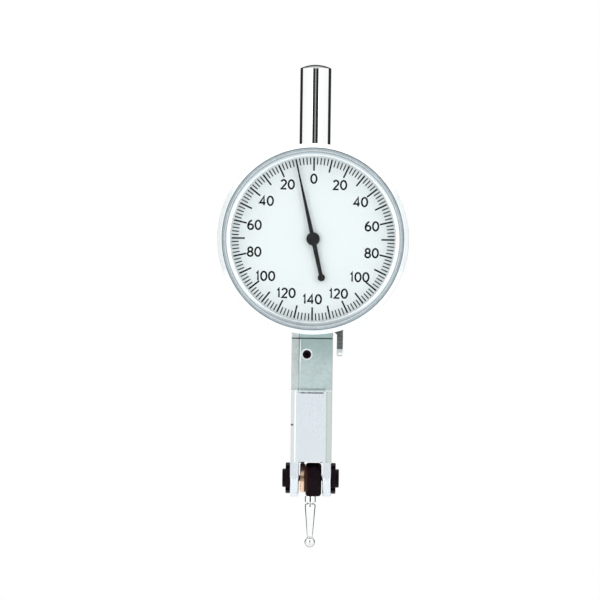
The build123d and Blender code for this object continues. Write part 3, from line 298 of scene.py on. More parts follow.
class Graph:
    """A node tree and a way to add nodes to it."""

    def __init__(self, tree):
        self.tree = tree
        tree.nodes.clear()

    def node(self, kind, settings, inputs, output=0):
        """Adds a node: its settings first, then the values or links of its sockets."""
        made = self.tree.nodes.new(kind)
        for key, value in settings.items():
            setattr(made, key, value)
        for key, value in inputs.items():
            if isinstance(value, Wire):
                self.tree.links.new(value.socket, made.inputs[key])
            else:
                made.inputs[key].default_value = value
        return None if output is None else Wire(self, made.outputs[output])

    def reckon(self, operation, *values):
        """A Math node's result for one or two values."""
        return self.node("ShaderNodeMath", {"operation": operation}, dict(enumerate(values)))

    def parts(self, vector):
        """The three numbers of a vector."""
        first = self.node("ShaderNodeSeparateXYZ", {}, {0: vector})
        return [Wire(self, output) for output in first.socket.node.outputs]

    def ease(self, value, low, high, start=0.0, finish=1.0):
        """Goes smoothly from start to finish as value goes from low to high, and stays there."""
        return self.node(
            "ShaderNodeMapRange", {"interpolation_type": "SMOOTHSTEP"},
            {0: value, 1: low, 2: high, 3: start, 4: finish},
        )

    def fall(self, value, low, high):
        """One below low, nought above high, smooth between."""
        return self.ease(value, low, high, 1.0, 0.0)

    def band(self, value, low, high, soft):
        """One between low and high, nought outside, with soft edges."""
        return self.ease(value, low - soft, low) * self.fall(value, high, high + soft)


class Finish(Graph):
    """One material: its shader, its object coordinates and the ways to feed it."""

    def __init__(self, name, **shader):
        self.material = bpy.data.materials.new(name)
        self.material.use_nodes = True
        super().__init__(self.material.node_tree)
        self.output = self.tree.nodes.new("ShaderNodeOutputMaterial")
        self.shader = self.tree.nodes.new("ShaderNodeBsdfPrincipled")
        self.tree.links.new(self.shader.outputs[0], self.output.inputs[0])
        for socket, value in shader.items():
            self.shader.inputs[socket.replace("_", " ")].default_value = value
        self.place = self.node("ShaderNodeTexCoord", {}, {}, "Object")

    def facing(self):
        """The three numbers of the way that the surface faces."""
        return self.parts(self.node("ShaderNodeTexCoord", {}, {}, "Normal"))

    def noise(self, scale, detail, stretch=(1, 1, 1), rough=0.55):
        """Fractal noise in object coordinates, stretched along the axes."""
        spread = self.node(
            "ShaderNodeVectorMath", {"operation": "MULTIPLY"}, {0: self.place, 1: stretch}
        )
        return self.node(
            "ShaderNodeTexNoise", {},
            {"Vector": spread, "Scale": scale, "Detail": detail, "Roughness": rough}, "Fac",
        )

    def feed(self, socket, wire):
        """Links a value to one of the shader's sockets."""
        self.tree.links.new(wire.socket, self.shader.inputs[socket])

    def blend(self, first, second, amount):
        """A colour that goes from first to second by amount; each may be a colour or a wire."""
        ends = [end if isinstance(end, Wire) else (*end, 1.0) for end in (first, second)]
        return self.node(
            "ShaderNodeMix", {"data_type": "RGBA"}, {0: amount, 6: ends[0], 7: ends[1]}, 2
        )

    def coats(self, colour, *layers):
        """A colour with layers over it in turn, each a colour and its amount."""
        for layer, amount in layers:
            colour = self.blend(colour, layer, amount)
        return colour

    def tint(self, first, second, amount):
        """Base colour that goes from first to second by amount."""
        self.feed("Base Color", self.blend(first, second, amount))

    def bump(self, height, strength, distance):
        """Raises the surface by height."""
        raised = self.node(
            "ShaderNodeBump", {}, {"Strength": strength, "Distance": distance, "Height": height}
        )
        self.feed("Normal", raised)


def scaled(colour, share):
    """A colour with each channel times a share, or times its own of three shares, up to one."""
    shares = share if isinstance(share, tuple) else (share,) * 3
    return tuple(min(1.0, channel * part) for channel, part in zip(colour, shares))


def from_dial_axis(finish):
    """Distance from the dial's axis, the root of x squared plus (z - dial z) squared."""
    x, _, z = finish.parts(finish.place)
    up = z - DIAL_Z
    return (x * x + up * up) ** 0.5


def satin_plating(name, colour, ground):
    """Satin chrome, cloudy and finely grained, with the fork's sloping front smoother and brighter
    by painted light.

    The bar's front grows paler from the groove down; its sides and its cover have tones of their
    own.
    The bevels of the sloping front carry painted shade, deeper on the right, with a painted shade
    line along the right one's outer edge and a painted highlight along the left one's, and the
    fork's end has a little painted shade. Painted shade darkens the groove under the dial's seat,
    the seam of the cover, the notch at its end, the foot of the step and the front just above the
    step, less at its margins. The edge beside the seam and the ring round the stop screw carry
    white painted highlights.
    """
    finish = Finish(name)
    x, y, z = finish.parts(finish.place)
    turn_x, turn_y, _ = finish.facing()
    forward = finish.fall(turn_y, -0.85, -0.55)
    half_forward = finish.fall(turn_y, -0.45, -0.25)
    clouds = finish.noise(260, 4, (1, 1, 0.7), 0.6)
    mottle = finish.noise(1500, 3)
    grain = finish.noise(9000, 2)
    lines = finish.noise(2600, 2, (1, 1, 0.05))

    below_groove = finish.fall(z, GROOVE_Z - 0.2 * MM, GROOVE_Z - 0.1 * MM)
    below_step = finish.fall(z, STEP_Z - 0.05 * MM, STEP_Z)
    above_step = 1 - below_step
    fork_end = finish.fall(z, PIVOT_Z + 2.6 * MM, PIVOT_Z + 3.2 * MM)
    sloping = below_step * finish.reckon("MAXIMUM", half_forward, fork_end)

    # Above the step
    descent = finish.fall(z, GROOVE_Z - 5.9 * MM, GROOVE_Z - 1.0 * MM) * below_groove
    front = finish.blend(scaled(colour, UPPER_SHARES), scaled(colour, LOWER_SHARES), descent)
    on_cover = finish.fall(x, SEAM_X - 0.10 * MM, SEAM_X - 0.04 * MM)
    uneven = clouds * 0.6 + mottle * 0.4
    near_step = finish.band(z, STEP_Z + 0.1 * MM, STEP_Z + 0.3 * MM, 0.6 * MM) * above_step
    margin = finish.ease(finish.reckon("ABSOLUTE", x), 2.55 * MM, 2.95 * MM)
    plated = finish.coats(
        finish.blend(SIDE_TONE, front, forward),
        (COVER_TONE, on_cover * forward * 0.8),
        (scaled(colour, 0.62), finish.ease(uneven, 0.38, 0.70) * 0.34),
        # Painted shade just above the step, mottled, and a milder painted shade at its margins
        (scaled(colour, 0.45), near_step * forward * (mottle + 0.15) * (1 - margin)),
        (STEP_MARGIN_SHADE, near_step * forward * margin),
    )

    # The sloping front, its bevels with their outer edges, and the fork's end, in tones of painted
    # light and shade
    # Painted shade on the bevels, deeper on the right, with a painted shade line along the right
    # one's outer edge and a painted highlight along the left one's
    right_bevel = finish.ease(turn_x, 0.25, 0.40) * (1 - fork_end)
    left_bevel = finish.fall(turn_x, -0.40, -0.25) * (1 - fork_end)
    right_edge_shade = finish.band(x, 2.86 * MM, 3.12 * MM, 0.06 * MM) * right_bevel
    left_edge_highlight = finish.band(x, -3.20 * MM, -2.98 * MM, 0.06 * MM) * left_bevel
    # The sloping front in a brighter tone of painted light, a little painted shade at the fork's
    # end, then the bevels' painted shade and edge lines
    smooth = finish.coats(
        finish.blend(scaled(ground, 0.915), scaled(ground, 0.985), clouds),
        (scaled(ground, 0.925), fork_end),
        (RIGHT_BEVEL_SHADE, right_bevel),
        (LEFT_BEVEL_SHADE, left_bevel),
        (RIGHT_EDGE_SHADE, right_edge_shade * 0.7),
        (LEFT_EDGE_HIGHLIGHT, left_edge_highlight * 0.9),
    )

    # Painted highlights: a white line on the edge beside the seam, fading downwards, and a white
    # ring round the stop screw
    fading = finish.ease(z, GROOVE_Z - 8 * MM, GROOVE_Z - 4 * MM, 0.35, 1.0)
    edge = finish.band(x, SEAM_X + 0.05 * MM, SEAM_X + 0.27 * MM, 0.05 * MM)
    edge = edge * below_groove * above_step * forward * fading
    aside, up = x - float(STOP_CENTRE[0]), z - float(STOP_CENTRE[2])
    ring = finish.band((aside * aside + up * up) ** 0.5, 0.78 * MM, 1.08 * MM, 0.04 * MM)
    seam_and_screw_highlight = finish.reckon("MAXIMUM", edge, ring * half_forward)

    # Painted shade in the groove under the dial's seat, in the seam of the cover, at the notch at
    # the cover's end and at the foot of the step
    groove = finish.band(z, GROOVE_Z - 0.12 * MM, GROOVE_Z + 0.12 * MM, 0.03 * MM)
    seam = finish.band(x, SEAM_X - 0.09 * MM, SEAM_X - 0.01 * MM, 0.03 * MM) * above_step * fading
    sunk = finish.ease(y, 0.01 * MM - BAR_FRONT, 0.06 * MM - BAR_FRONT)
    near_front = finish.fall(y, 0.7 * MM - BAR_FRONT, 0.9 * MM - BAR_FRONT)
    foot = finish.band(z, STEP_Z - 0.40 * MM, STEP_Z - 0.22 * MM, 0.07 * MM)
    foot = foot * finish.band(x, -2.4 * MM, 2.3 * MM, 0.15 * MM)
    foot = foot * finish.ease(mottle, 0.34, 0.50) * half_forward
    notch = finish.band(z, COVER_END - 0.16 * MM, COVER_END + 0.10 * MM, 0.08 * MM)
    notch = notch * finish.fall(x, -3.50 * MM, -3.36 * MM) * half_forward
    crevice_shade = (groove + seam * 0.8) * sunk * near_front + foot + notch

    shown = finish.coats(plated, (smooth, sloping), (HIGHLIGHT_WHITE, seam_and_screw_highlight))
    # The painted shade in the crevices darkens the colour
    finish.tint(shown, SHADE_DARK, crevice_shade * 0.9)
    # Less metallic under the painted highlights
    finish.feed("Metallic", 1 - seam_and_screw_highlight * 0.85)
    finish.feed("Roughness", 0.27 + clouds * 0.06 + lines * 0.05 - sloping * 0.06)
    finish.bump(grain * 0.5 + mottle * 0.2 + lines * 0.3, 0.12, 0.00001)
    return finish.material


def polished_plating(name, colour):
    """Polished chrome with a haze of handling marks."""
    finish = Finish(name, Metallic=1.0, Specular_Tint=(0.04, 0.04, 0.04, 1))
    haze = finish.noise(260, 4)
    rings = finish.noise(1500, 2, (0.1, 0.1, 1))
    finish.tint(scaled(colour, 0.97), colour, haze)
    finish.feed("Roughness", 0.035 + haze * 0.03 + rings * 0.02)
    finish.bump(rings, 0.015, 0.000004)
    return finish.material


def turned_plating(name, colour, rim):
    """Plating over turned metal: speckled satin, painted highlights on the rim, the lip and a
    bright line, painted shade on the chamfer's slope and a painted shade line at each step.
    """
    finish = Finish(name)
    radius, outer = from_dial_axis(finish), BEZEL_RADIUS
    rings = finish.reckon("SINE", radius * TURNING_WAVES)
    clouds = finish.noise(240, 3)
    specks = finish.noise(1300, 3)
    satin = finish.blend(scaled(colour, 0.72), scaled(colour, 1.08), clouds * 0.4 + specks * 0.6)
    _, depth, _ = finish.parts(finish.place)
    chamfer_back = float(BEZEL_LOW[1]) + CHAMFER
    # Painted highlight on the rim's front
    edge = finish.ease(radius, outer - 0.84 * MM, outer - 0.78 * MM)
    edge = edge * finish.fall(depth, chamfer_back - 0.05 * MM, chamfer_back + 0.05 * MM)
    # Painted shade on the chamfer's slope, painted highlights on the lip and on a line between, and
    # painted shade lines at the steps
    slope = finish.band(radius, outer - 2.14 * MM, outer - 1.78 * MM, 0.05 * MM)
    lip = finish.fall(radius, outer - 2.22 * MM, outer - 2.14 * MM)
    bright_line = finish.band(radius, outer - 1.54 * MM, outer - 1.44 * MM, 0.05 * MM) * 0.8
    outer_line = finish.band(radius, outer - 1.02 * MM, outer - 0.88 * MM, 0.05 * MM)
    inner_line = finish.band(radius, outer - 1.80 * MM, outer - 1.64 * MM, 0.07 * MM)
    _, turn_y, _ = finish.facing()
    aside = finish.ease(turn_y, -0.55, -0.35) * (1 - edge)
    shown = finish.coats(
        satin,
        (scaled(colour, 0.74), slope * (0.6 + specks * 0.5)),
        (rim, edge + lip + bright_line),
        (BEZEL_SIDE, aside),
    )
    finish.tint(shown, scaled(colour, 0.42), outer_line * 0.85 + inner_line * 0.75)
    # Less metallic under the painted highlights of the rim and the bright line
    finish.feed("Metallic", 0.90 - edge * 0.66 - bright_line * 0.4)
    finish.feed("Roughness", 0.24 + clouds * 0.08 + rings * 0.015 - edge * 0.1)
    finish.bump(rings, 0.10, 0.000004)
    return finish.material


def enamel_face(name, colour):
    """Matt white enamel with the faintest orange peel."""
    finish = Finish(name)
    clouds = finish.noise(120, 2)
    grain = finish.noise(5200, 2)
    finish.tint(scaled(colour, 0.985), scaled(colour, 1.01), clouds)
    finish.feed("Roughness", 0.50 + grain * 0.12)
    finish.bump(grain, 0.05, 0.000004)
    return finish.material


def printing_ink(name, colour):
    """Printed ink, a little uneven in cover."""
    finish = Finish(name, Specular_IOR_Level=0.03)
    cover = finish.noise(2600, 2)
    finish.tint(colour, scaled(colour, 2.2), cover * 0.6)
    finish.feed("Roughness", 0.46 + cover * 0.14)
    return finish.material


def black_paint(name, colour):
    """Matt black paint on the pointer and its hub."""
    finish = Finish(name, Specular_IOR_Level=0.04)
    speck = finish.noise(3800, 3)
    finish.tint(colour, scaled(colour, 1.9), speck)
    finish.feed("Roughness", 0.38 + speck * 0.16)
    finish.bump(speck, 0.08, 0.000004)
    return finish.material


def blacked_steel(name, colour, reflection_edge=None):
    """Chemically blacked steel with lighter wear and an oily sheen.

    Given an x, it has a painted brown reflection of the bronze disc up to a little right of that x.
    """
    finish = Finish(name, Specular_IOR_Level=0.06)
    wear = finish.noise(900, 4)
    fine = finish.noise(7000, 2)
    black = finish.blend(colour, scaled(colour, 2.4), wear ** 2.4)
    if reflection_edge is not None:
        x, _, _ = finish.parts(finish.place)
        # Painted reflection of the bronze disc on the drum's left edge
        bronze_reflection = finish.fall(x, reflection_edge + 0.05 * MM, reflection_edge + 0.45 * MM)
        black = finish.blend(black, REFLECTED_BRONZE, bronze_reflection)
    finish.feed("Base Color", black)
    finish.feed("Roughness", 0.28 + wear * 0.16 + fine * 0.05)
    finish.bump(fine, 0.10, 0.000006)
    return finish.material


def ground_metal(name, colour, roughness):
    """Ground or lapped metal: short scratches one way, and slow tarnish."""
    finish = Finish(name, Metallic=1.0)
    scratches = finish.noise(5200, 2, (1, 0.06, 1))
    tarnish = finish.noise(420, 3)
    finish.tint(scaled(colour, 0.80), scaled(colour, 1.06), tarnish)
    finish.feed("Roughness", roughness - 0.04 + scratches * 0.10 + tarnish * 0.05)
    finish.bump(scratches, 0.14, 0.000005)
    return finish.material


def lever_metal(name, colour):
    """Turned bronze with painted shade under the fork's roof and beside the drum, and darker round
    the pivot.
    """
    finish = Finish(name)
    x, _, z = finish.parts(finish.place)
    scratches = finish.noise(5200, 2, (0.06, 1, 1))
    tarnish = finish.noise(420, 3)
    # Darker round the pivot
    at_pivot = finish.band(z, PIVOT_Z - 0.50 * MM, PIVOT_Z + 0.35 * MM, 0.30 * MM)
    # Painted shade beside the drum
    beside_drum = finish.ease(x, DRUM_LEFT - 0.42 * MM, DRUM_LEFT - 0.12 * MM)
    # Painted shade under the fork's roof: dark and not metallic
    upper = finish.ease(z, PIVOT_Z + 0.80 * MM, PIVOT_Z + 1.60 * MM)
    bare = finish.coats(
        finish.blend(scaled(colour, 0.88), scaled(colour, 1.05), tarnish),
        (scaled(colour, 0.36), at_pivot * 0.85),
        (scaled(colour, 0.12), beside_drum),
    )
    finish.tint(bare, ROOF_SHADE, upper)
    finish.feed("Metallic", 1 - upper)
    finish.feed("Roughness", 0.20 + scratches * 0.10 + tarnish * 0.05)
    finish.bump(scratches, 0.14, 0.000005)
    return finish.material


def serrated_nickel(name, colour):
    """Dark nickel with a fine diamond knurl, two crossed waves, and a bright tip with a painted
    shade line at its end.
    """
    finish = Finish(name, Metallic=0.9)
    _, depth, height = finish.parts(finish.place)
    one = finish.reckon("SINE", (depth + height) * KNURL_WAVES)
    two = finish.reckon("SINE", (depth - height) * KNURL_WAVES)
    peaks = one * two
    wear = finish.noise(1300, 3)
    knurled = finish.blend(scaled(colour, 0.55), scaled(colour, 1.7), peaks * 0.25 + wear * 0.6)
    tip = finish.fall(height, LEVER_FOOT + 1.3 * MM, LEVER_FOOT + 1.4 * MM)
    # Painted shade line along the rounded end of the tip
    edge = finish.fall(height, LEVER_FOOT + 0.1 * MM, LEVER_FOOT + 0.2 * MM)
    finish.tint(finish.blend(knurled, LEVER_TIP, tip), scaled(colour, 0.8), edge)
    finish.feed("Roughness", 0.34 + wear * 0.16 - tip * 0.12)
    finish.bump(peaks * (1 - tip), 0.5, 0.00003)
    return finish.material


def ruby_stone(name, colour):
    """Polished synthetic ruby."""
    finish = Finish(name, Coat_Roughness=0.05)
    depth = finish.noise(2200, 2)
    finish.tint(scaled(colour, 0.6), scaled(colour, 1.15), depth)
    finish.feed("Roughness", 0.10 + depth * 0.06)
    finish.feed("Coat Weight", 0.7 + depth * 0.2)
    return finish.material


def clear_cover(name):
    """A thin clear cover: mostly see-through, with a gloss that grows towards its edge."""
    finish = Finish(name, Base_Color=(1, 1, 1, 1))
    haze = finish.noise(160, 2)
    gloss = finish.node("ShaderNodeFresnel", {}, {"IOR": 1.49})
    finish.feed("Roughness", 0.02 + haze * 0.03)
    clear = finish.node("ShaderNodeBsdfTransparent", {}, {})
    glossy = Wire(finish, finish.shader.outputs[0])
    mixed = finish.node(
        "ShaderNodeMixShader", {}, {0: gloss * 0.22 + haze * 0.004, 1: clear, 2: glossy}
    )
    finish.tree.links.new(mixed.socket, finish.output.inputs[0])
    return finish.material


# Surfaces


def softened(points, radius, closed=False):
    """A profile whose corners are small arcs.

    A corner p between two sides becomes (1 - t)^2 a + 2 t (1 - t) p + t^2 b, where a and b lie one
    radius from p along its sides, with a support point a quarter of a radius beyond each.
    """
    p = np.asarray(points, float)
    before, after = np.roll(p, 1, axis=0), np.roll(p, -1, axis=0)
    back, on = before - p, after - p
    back_length = np.linalg.norm(back, axis=1, keepdims=True)
    on_length = np.linalg.norm(on, axis=1, keepdims=True)
    cut = np.minimum(radius, 0.36 * np.minimum(back_length, on_length))
    a, b = p + back / back_length * cut, p + on / on_length * cut
    outer_a, outer_b = p + back / back_length * cut * 1.25, p + on / on_length * cut * 1.25
    t = np.linspace(0, 1, 5)[None, :, None]
    arc = (1 - t) ** 2 * a[:, None] + 2 * t * (1 - t) * p[:, None] + t**2 * b[:, None]
    rows = np.concatenate([outer_a[:, None], arc, outer_b[:, None]], axis=1)
    if closed:
        return rows.reshape(-1, 2)
    return np.vstack([p[:1], rows[1:-1].reshape(-1, 2), p[-1:]])


def skin(name, grid, poles, looped=False):
    """A mesh over a grid of rings: each ring joins the next, columns wrap round, poles close it.

    Face (i, j) joins points (i, j), (i, j+1), (i+1, j+1) and (i+1, j). If the enclosed volume,
    a sixth of the sum of a . (b x c) over its triangles, is negative, each face is turned round.
    """
    rows, columns = grid.shape[:2]
    vertices = grid.reshape(-1, 3)
    j = np.arange(columns)
    nxt = (j + 1) % columns
    last = rows if looped else rows - 1
    i = np.arange(last)[:, None]
    above = ((i + 1) % rows) * columns
    quads = np.stack(
        [i * columns + j, i * columns + nxt, above + nxt, above + j], axis=-1
    ).reshape(-1, 4)
    fans = []
    if poles[0] is not None:
        fans.append(np.stack([np.full(columns, len(vertices)), nxt, j], axis=-1))
        vertices = np.vstack([vertices, poles[0]])
    if poles[1] is not None:
        base = (rows - 1) * columns
        fans.append(np.stack([np.full(columns, len(vertices)), base + j, base + nxt], axis=-1))
        vertices = np.vstack([vertices, poles[1]])
    fans = np.vstack(fans) if fans else np.zeros((0, 3), int)
    return mesh_from(name, vertices, quads, fans)


def mesh_from(name, vertices, quads, triangles):
    """A smooth mesh object from arrays, its faces turned outwards."""
    corners = vertices - vertices.mean(axis=0)
    split = np.vstack([quads[:, [0, 1, 2]], quads[:, [0, 2, 3]], triangles]).astype(int)
    a, b, c = corners[split[:, 0]], corners[split[:, 1]], corners[split[:, 2]]
    if np.einsum("ij,ij->i", a, np.cross(b, c)).sum() < 0:
        quads, triangles = quads[:, ::-1], triangles[:, ::-1]
    mesh = bpy.data.meshes.new(name)
    mesh.from_pydata(vertices.tolist(), [], quads.tolist() + triangles.tolist())
    mesh.polygons.foreach_set("use_smooth", np.ones(len(mesh.polygons), bool))
    mesh.update()
    return added(name, mesh)


def added(name, data):
    """A new object in the scene."""
    made = bpy.data.objects.new(name, data)
    bpy.context.scene.collection.objects.link(made)
    return made


def flat_faced(piece):
    """The piece, its faces shaded flat."""
    piece.data.polygons.foreach_set("use_smooth", np.zeros(len(piece.data.polygons), bool))
    return piece


def turned(name, profile, centre, axis, steps, looped=False, press=None):
    """A turned surface: point (i, j) is centre + axis h_i + r_ij (u cos a_j + v sin a_j).

    The profile's rows are (h, r). A first or last r of zero is a pole. press(h, r, a) gives how
    much each r is reduced, for flutes.
    """
    axis = np.asarray(axis, float)
    u = np.array([1.0, 0, 0]) if abs(axis[0]) < 0.5 else np.array([0, 1.0, 0])
    v = np.cross(axis, u)
    profile = np.asarray(profile, float)
    poles = [None, None]
    if not looped:
        if profile[0, 1] < 1e-9:
            poles[0] = np.asarray(centre) + axis * profile[0, 0]
            profile = profile[1:]
        if profile[-1, 1] < 1e-9:
            poles[1] = np.asarray(centre) + axis * profile[-1, 0]
            profile = profile[:-1]
    angle = np.arange(steps) * 2 * math.pi / steps
    h, r = profile[:, :1], np.repeat(profile[:, 1:], steps, axis=1)
    if press is not None:
        r = r - press(h, r, angle[None, :])
    ring = np.cos(angle)[None, :, None] * u + np.sin(angle)[None, :, None] * v
    grid = np.asarray(centre) + h[..., None] * axis + r[..., None] * ring
    return skin(name, grid, poles, looped)


def on_dial(name, profile, steps, **more):
    """A surface turned about the dial's axis: h is how far forward, r how far from the axis."""
    return turned(name, profile, (0, 0, DIAL_Z), (0, -1, 0), steps, **more)


def place(piece, body, material, slot, *nodes):
    """Gives a piece its material and its body, and hides the nodes that it stands for; slot is not
    used.
    """
    piece.data.materials.clear()
    piece.data.materials.append(material)
    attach(piece, body)
    if nodes:
        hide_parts(*nodes)


def dome(height, top, radius, points):
    """Rows (h, r) of a round cap: h = top - (R - root(R^2 - r^2)), R from its height and radius."""
    ball = (radius**2 + height**2) / (2 * height)
    r = radius * np.sin(np.linspace(0, math.pi / 2, points))
    h = top - (ball - np.sqrt(ball**2 - r**2))
    return np.stack([h, r], axis=1)


# Numerals, drawn as strokes in a box one unit high, with their widths


def bow(centre, radii, start, finish, count):
    """Points on an ellipse: centre + (rx cos a, ry sin a), a in degrees from start to finish."""
    a = np.radians(np.linspace(start, finish, count))
    return np.stack([centre[0] + radii[0] * np.cos(a), centre[1] + radii[1] * np.sin(a)], axis=1)


NUMERALS = {
    "0": (0.68, [bow((0.34, 0.5), (0.275, 0.43), 90, 450, 40)]),
    "1": (0.34, [[(0.06, 0.74), (0.20, 0.94), (0.20, 0.06)]]),
    "2": (0.62, [
        np.vstack([bow((0.31, 0.69), (0.235, 0.25), 165, -38, 20), [(0.07, 0.06), (0.57, 0.06)]]),
    ]),
    "4": (0.66, [[(0.47, 0.06), (0.47, 0.94), (0.06, 0.30), (0.62, 0.30)]]),
    "6": (0.62, [
        np.vstack([
            bow((0.56, 0.36), (0.50, 0.60), 104, 180, 14),
            bow((0.31, 0.31), (0.25, 0.25), 180, 540, 34),
        ]),
    ]),
    "8": (0.62, [
        bow((0.31, 0.72), (0.205, 0.215), -90, 270, 32),
        bow((0.31, 0.285), (0.25, 0.225), 90, 450, 32),
    ]),
}


def strokes_mesh(name, strokes, width, base, thickness):
    """Flat strokes with square ends.

    Each stroke's point p becomes p + n w/2 and p - n w/2 on two levels, n at right angles to the
    mean of its two directions, lengthened at a corner by one over the cosine of half the bend.
    """
    vertices, quads, start = [], [], 0
    for line in strokes:
        line = np.asarray(line, float)
        way = np.diff(line, axis=0)
        way /= np.linalg.norm(way, axis=1, keepdims=True)
        joined = np.allclose(line[0], line[-1])
        first = way[-1:] if joined else way[:1]
        last = way[:1] if joined else way[-1:]
        before, after = np.vstack([first, way]), np.vstack([way, last])
        mean = before + after
        mean /= np.linalg.norm(mean, axis=1, keepdims=True)
        stretch = 1 / np.clip(np.sum(mean * after, axis=1), 0.5, 1)
        normal = np.stack([-mean[:, 1], mean[:, 0]], axis=1) * (width / 2 * stretch)[:, None]
        left, right = line + normal, line - normal
        low, high = -base, -(base + thickness)
        flat = np.stack([left, right, right, left], axis=1)
        level = np.array([low, low, high, high])[None, :].repeat(len(line), axis=0)
        points = np.stack([flat[..., 0], level, flat[..., 1] + DIAL_Z], axis=-1)
        count = len(line)
        i = np.arange(count - 1)[:, None] * 4 + start
        k = np.arange(4)
        n = (k + 1) % 4
        quads.append(np.stack([i + k, i + n, i + 4 + n, i + 4 + k], axis=-1).reshape(-1, 4))
        ends = np.array([[0, 3, 2, 1], [0, 1, 2, 3]]) + [[start], [start + 4 * (count - 1)]]
        quads.append(ends)
        vertices.append(points.reshape(-1, 3))
        start += 4 * count
    return flat_faced(
        mesh_from(name, np.vstack(vertices), np.vstack(quads), np.zeros((0, 3), int))
    )


def numeral_strokes(text, centre, height, gap=0.10):
    """A number's strokes about its centre, digits side by side with a gap between them.

    A stroke's point p becomes centre + height (p + (x, -1/2)), with x where its digit starts.
    """
    widths = [NUMERALS[d][0] for d in text]
    total = sum(widths) + gap * (len(text) - 1)
    x, found = -total / 2, []
    for digit, width in zip(text, widths):
        for stroke in NUMERALS[digit][1]:
            moved = (np.asarray(stroke, float) + [x, -0.5]) * height
            found.append(moved + centre)
        x += width + gap
    return found


# One operator for each piece or group of pieces


class INDICATOR_OT_stem(bpy.types.Operator):
    """The polished stem: straight wall, small shoulder radius and domed end."""

    bl_idname = "indicator.stem"
    bl_label = "Stem"

    def execute(self, context):
        top, foot, radius = float(STEM_HIGH[2]), float(STEM_LOW[2]), float(STEM_HIGH[0])
        dome_height, thread, thread_length = 0.7 * MM, 2.0 * MM, 4.6 * MM
        brow, shoulder = top - dome_height, foot + thread_length
        wall = softened(
            [(brow, radius), (shoulder, radius), (shoulder, thread), (foot, thread), (foot, 0)],
            radius=0.12 * MM,
        )
        held = [(brow - 0.02 * MM, radius), (brow - 0.2 * MM, radius)]
        rows = np.vstack([dome(dome_height, top, radius, points=22), held, wall[1:]])
        stem = turned("stem_surface", rows, (0, 0, 0), (0, 0, 1), steps=160)
        chrome = polished_plating("stem_chrome", context.scene.indicator_metal.stem)
        place(stem, BODY, chrome, "bright_chrome", "stem")
        return {"FINISHED"}


class INDICATOR_OT_wire(bpy.types.Operator):
    """The measuring spring's wire, held by the crank at its top and by the sector's peg below.

    It is split where it stands still.
    """

    bl_idname = "indicator.wire"
    bl_label = "Measuring spring"

    def execute(self, context):
        blued = frame["nodes"]["measuring_spring"].active_material
        low, high = box_of("measuring_spring")
        radius = float(high[0] - low[0]) / 2
        middle = float(high[0] + low[0]) / 2
        top = np.array([middle, high[1] - radius, high[2]])
        bottom = np.array([middle, low[1] + radius, low[2]])
        length = float(np.linalg.norm(bottom - top))
        way = (bottom - top) / length
        upper = wire_piece("upper_wire", top, way, 0, WIRE_SPLIT, radius)
        lower = wire_piece("lower_wire", top, way, WIRE_SPLIT, length, radius)
        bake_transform(upper)
        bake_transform(lower)
        for piece in (upper, lower):
            piece.data.materials.append(blued)
            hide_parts("measuring_spring")
        return {"FINISHED"}


def wire_piece(name, top, way, start, end, radius):
    """A round bar along way, from start to end below top, in even steps."""
    steps = np.linspace(start, end, WIRE_RINGS)
    profile = [(start, 0), *((h, radius) for h in steps), (end, 0)]
    return turned(name, profile, top, way, WIRE_SIDES)


class INDICATOR_OT_bevels(bpy.types.Operator):
    """The two 45 degree bevels down the edges of the sloping front, from the step to the nuts."""

    bl_idname = "indicator.bevels"
    bl_label = "Front bevels"

    def execute(self, context):
        satin = frame["nodes"]["body_frame"].active_material
        edge, foot = float(BAR_HIGH[0]), float(NUT_HIGH[2])
        for name, way in (("right_bevel", 1), ("left_bevel", -1)):
            place(bevel_strip(name, way, edge, foot), BODY, satin, "satin_chrome")
        return {"FINISHED"}


def bevel_strip(name, way, edge, foot):
    """A three-sided bar: each end has the corners (edge - c, 0), (edge, c) and (edge - 2 c, c).

    c is BEVEL. The second number is measured back from the sloping front, whose depth falls
    evenly from SLOPE_DEPTH at the step to SLOPE_FOOT over SLOPE_LENGTH. The bar fills the
    undercut in the node's solid, and its outer face is the bevel. way is 1 on the right, -1 on
    the left.
    """
    across = way * np.array([edge - BEVEL, edge, edge - 2 * BEVEL])
    behind = np.array([0, BEVEL, BEVEL])
    z = np.array([STEP_Z, foot])[:, None]
    front = -SLOPE_DEPTH + (SLOPE_DEPTH - SLOPE_FOOT) * (STEP_Z - z) / SLOPE_LENGTH
    grid = np.stack([across + 0 * z, front + behind, z + 0 * behind], axis=-1)
    return flat_faced(skin(name, grid, tuple(grid.mean(axis=1))))


